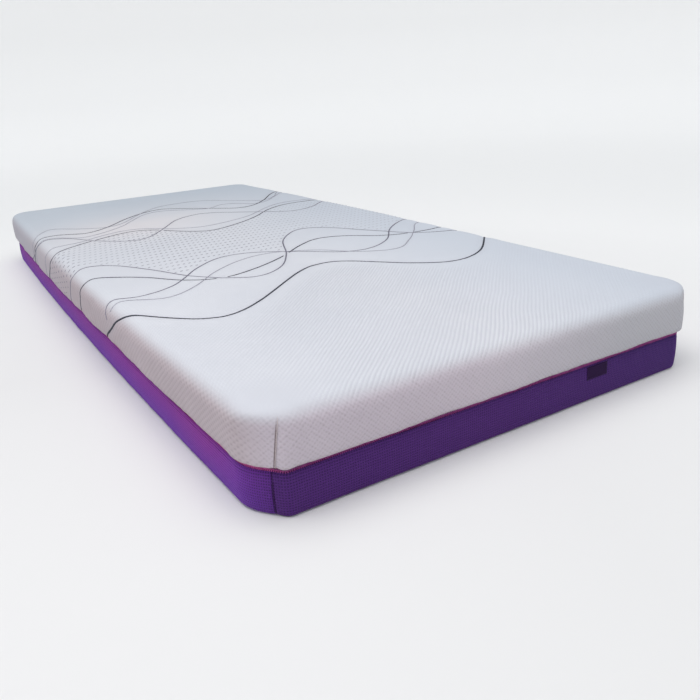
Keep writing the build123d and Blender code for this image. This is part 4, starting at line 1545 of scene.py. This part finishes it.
# ---- stage --------------------------------------------------------------------
def make_stage():
    """A pale floor that sweeps up all round, and soft lights."""
    profile = [(0.0, 0.0), (2.0, 0.0), (5.0, 0.0), (6.5, 0.06), (8.0, 0.4), (9.2, 1.2), (10.0, 2.6),
               (10.2, 5.0)]
    around = 96
    points, faces = [], []
    for radius, z in profile[1:]:
        for k in range(around):
            a = 2 * math.pi * k / around
            points.append((radius * math.cos(a), radius * math.sin(a), z))
    points.append((0, 0, 0))
    for ring in range(len(profile) - 2):
        for k in range(around):
            a = ring * around + k
            b = ring * around + (k + 1) % around
            faces.append((a, a + around, b + around, b))
    for k in range(around):
        faces.append((len(points) - 1, k, (k + 1) % around))
    floor = make_object("studio_floor", points, faces)
    m = Nodes("studio_floor", (0.80, 0.80, 0.80), 0.9, Specular_IOR_Level=0.1,
              Emission_Color=(1, 1, 1, 1))
    # The floor glows more the further it is from the mattress: painted light that brightens the backdrop and
    # thins the mattress's shadow on it.
    away = m.add("VectorMath")
    away.operation = "DISTANCE"
    m.tree.links.new(m.place(), away.inputs[0])
    away.inputs[1].default_value = (-0.7, -0.95, 0.0)
    distance = away.outputs["Value"]
    glow = m.plus(m.span(distance, 0.7, 2.2, 0.01, 0.21), m.span(distance, 2.2, 6.0, 0.0, 0.06))
    m.tree.links.new(glow, m.shader.inputs["Emission Strength"])
    floor.data.materials.append(m.material)

    world = bpy.data.worlds.new("studio")
    world.use_nodes = True
    back = world.node_tree.nodes["Background"]
    back.inputs["Color"].default_value = (0.93, 0.965, 1.0, 1)
    back.inputs["Strength"].default_value = 0.36
    bpy.context.scene.world = world

    lights = (
        ("sky", "SUN", (-0.3, -0.2, 4.0), (0, 0, 0), math.radians(80), 0.90, (0.95, 0.975, 1.0)),
        ("key", "AREA", (-0.70, -0.95, 2.05), (-0.35, -0.75, 0.1), 1.8, 22, (1.0, 0.965, 0.955)),
    )
    for name, kind, where, target, size, power, colour in lights:
        data = bpy.data.lights.new(name, kind)
        if kind == "SUN":
            data.angle = size
        else:
            data.size = size
        data.energy = power
        data.color = colour
        lamp = bpy.data.objects.new(name, data)
        lamp.location = where
        lamp.rotation_euler = (Vector(target) - Vector(where)).to_track_quat("-Z", "Y").to_euler()
        bpy.context.scene.collection.objects.link(lamp)
    bpy.context.scene.view_settings.view_transform = "Standard"


CAMERA_PLACE = (-0.727, -1.728, 0.536)
CAMERA_AZIMUTH = 30.91             # degrees from +Y towards +X
CAMERA_DOWN = 21.12
CAMERA_ROLL = -3.28
CAMERA_LENS = 36.14


def make_camera():
    """The camera, at the photograph's viewing angle."""
    a, down, roll = (math.radians(x) for x in (CAMERA_AZIMUTH, CAMERA_DOWN, CAMERA_ROLL))
    forward = Vector((math.sin(a) * math.cos(down), math.cos(a) * math.cos(down), -math.sin(down)))
    right = Vector((math.cos(a), -math.sin(a), 0))
    up = right.cross(forward)
    turned_right = right * math.cos(roll) + up * math.sin(roll)
    turned_up = up * math.cos(roll) - right * math.sin(roll)
    data = bpy.data.cameras.new("camera")
    data.lens = CAMERA_LENS
    data.sensor_width = 36.0
    camera = bpy.data.objects.new("camera", data)
    rows = Matrix((turned_right, turned_up, -forward)).transposed()
    camera.matrix_world = Matrix.Translation(CAMERA_PLACE) @ rows.to_4x4()
    bpy.context.scene.collection.objects.link(camera)
    bpy.context.scene.camera = camera


# ---- assembly -----------------------------------------------------------------
def dress_cover():
    """Everything that lifts off with the top cover."""
    cover = make_cover()
    tree = surface_tree(cover)
    finish_piece(cover, COVER_BODY, knit_material(), "white_knit", "top_cover")
    tones = {"dark": ((0.055, 0.060, 0.082), (0.018, 0.019, 0.027)),
             "grey": ((0.22, 0.215, 0.27), (0.13, 0.125, 0.165)),
             "faint": ((0.36, 0.355, 0.42), (0.25, 0.245, 0.30))}
    for tone, ribbon in make_waves(tree).items():
        finish_piece(ribbon, COVER_BODY, thread_material(f"wave_thread_{tone}", *tones[tone]), "white_knit")
    finish_piece(make_dashes(tree), COVER_BODY, dash_material(), "white_knit")
    seam_thread = thread_material("white_seam", (0.62, 0.545, 0.56), (0.46, 0.40, 0.42))
    seams = make_corner_seams("cover_seams", tree, cover_seam_angle,
                              HEM_Z - 0.001, COVER_SEAM_TOP, 0.0008, 0.0009)
    finish_piece(seams, COVER_BODY, seam_thread, "white_seam", "top_cover_corner_seams")
    stitches = stitch_row("cover_hem_stitches", tree,
                          lambda p, s: HEM_Z + 0.0048 - 0.0018 * float(ramp(HALF_LENGTH - p[1], 0.05, 0.13)),
                          0.0042, 0.0030, 0.0005)
    finish_piece(stitches, COVER_BODY, seam_thread, "white_seam")
    membrane = make_membrane()
    finish_piece(membrane, COVER_BODY, membrane_material(), "membrane", "waterproof_membrane")


def dress_lower_cover():
    """The purple border, its seams and stitches, and the underside."""
    # The end panels' cloth is a darker copy of the side cloth: painted shade on the ends. The first colour is
    # the painted shade that both cloths darken to round the corners and in the mesh's hollows.
    purple_shade = (0.076, 0.022, 0.165)
    side_cloth = border_material("purple_side", (0.155, 0.040, 0.39), (0.27, 0.032, 0.31), purple_shade)
    end_cloth_in_shade = border_material("purple_end_shaded", (0.070, 0.020, 0.160), (0.084, 0.022, 0.165), purple_shade)
    panels = make_borders()
    for name, panel in panels.items():
        cloth = end_cloth_in_shade if name in ("foot", "head") else side_cloth
        finish_piece(panel, BASE_BODY, cloth, "purple_fabric", f"border_{name}")
    seam_thread = thread_material("purple_seam", (0.060, 0.018, 0.12), (0.022, 0.007, 0.05))
    ring = join_copies(list(panels.values()))
    tree = surface_tree(ring)
    bpy.data.objects.remove(ring)
    seams = make_corner_seams("border_seams", tree, border_seam_angle,
                              0.006, BORDER_TOP - 0.002, 0.0008, 0.0011)
    finish_piece(seams, BASE_BODY, seam_thread, "purple_seam", "border_corner_seams")
    stitches = stitch_row("border_hem_stitches", tree, lambda p, s: BORDER_TOP - 0.0042,
                          0.0042, 0.0030, 0.0004)
    hem_thread = thread_material("purple_hem_thread", (0.095, 0.028, 0.20), (0.055, 0.016, 0.12))
    finish_piece(stitches, BASE_BODY, hem_thread, "purple_seam")
    panel, seam = make_base()
    finish_piece(panel, BASE_BODY, base_material(), "base_fabric", "base_panel")
    finish_piece(seam, BASE_BODY, seam_thread, "purple_seam", "base_seam")
    dark_satin = satin_material("dark_label", (0.026, 0.007, 0.050), (0.013, 0.004, 0.028))
    label, thread = make_label("foot_label", "size_label", -1, tree)
    finish_piece(label, BASE_BODY, dark_satin, "dark_label", "size_label")
    label_thread = thread_material("label_thread", (0.060, 0.020, 0.105), (0.03, 0.010, 0.055))
    finish_piece(thread, BASE_BODY, label_thread, "dark_label")
    light_satin = satin_material("light_label", (0.78, 0.78, 0.76), (0.62, 0.62, 0.61))
    label, thread = make_label("head_label", "care_label", 1, tree)
    finish_piece(label, BASE_BODY, light_satin, "light_label", "care_label")
    finish_piece(thread, BASE_BODY, seam_thread, "light_label")


def join_copies(objects):
    """One mesh object of copies of several, for finding surfaces."""
    points, faces = [], []
    for obj in objects:
        add_solid(points, faces, [v.co for v in obj.data.vertices],
                  [p.vertices for p in obj.data.polygons])
    return make_object("joined", points, faces)


def dress_foam():
    """The foam layers, seen when the cover is lifted."""
    firm = foam_material("firm_foam", (0.52, 0.60, 0.70), (0.33, 0.40, 0.50), 0.0016)
    core = foam_material("core_foam", (0.80, 0.78, 0.70), (0.58, 0.55, 0.46), 0.0016)
    memory = foam_material("memory_foam", (0.84, 0.79, 0.62), (0.64, 0.57, 0.40), 0.0011)
    pieces = [
        (make_foam_slab("foam_base_slab", "foam_base_layer", 0.003), firm, "firm_foam", "foam_base_layer"),
        (make_foam_top(), memory, "memory_foam", "foam_top_layer"),
    ]
    for name in ("foot", "head"):
        node = f"foam_bolster_{name}"
        pieces.append((make_foam_block(f"foam_edge_{name}", node, 0.0015, "end"), firm, "firm_foam", node))
    for name in ("left", "right"):
        node = f"foam_bolster_{name}"
        pieces.append((make_foam_block(f"foam_edge_{name}", node, 0.0015, "side"), firm, "firm_foam", node))
    low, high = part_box("foam_core")
    points, faces = rounded_block(low, high, 0.002, cells=12)
    pieces.append((make_object("foam_core_block", points, faces), core, "core_foam", "foam_core"))
    for obj, material, slot, node in pieces:
        finish_piece(obj, BASE_BODY, material, slot, node)


def dress_zip():
    """Coils as separate teeth, woven tapes, and lacquered sliders and pulls."""
    coil = coil_material()
    halves = (("upper", COVER_BODY, 1), ("lower", BASE_BODY, -1))
    for half, body, way in halves:
        node = f"zip_coil_{half}"
        finish_piece(make_coil(f"zip_teeth_{half}", node, way), body, coil, "zip_coil", node)
    tape = tape_material()
    for half, body, way in halves:
        node = f"zip_tape_{half}"
        finish_piece(make_tape(f"zip_woven_{half}", node), body, tape, "zip_tape", node)
    metal = metal_material()
    for name in ("zip_slider_left", "zip_slider_right", "zip_pull_left", "zip_pull_right"):
        node = dress_node(name, metal)
        soften = node.modifiers.new("cast edge", "BEVEL")
        soften.width = 0.0002
        soften.segments = 2


def dress_node(name, material):
    """A carried-over CAD node with a better material."""
    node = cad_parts[name]
    node.data.materials.clear()
    node.data.materials.append(material)
    return node


make_camera()
make_stage()
dress_foam()
dress_lower_cover()
dress_cover()
dress_zip()
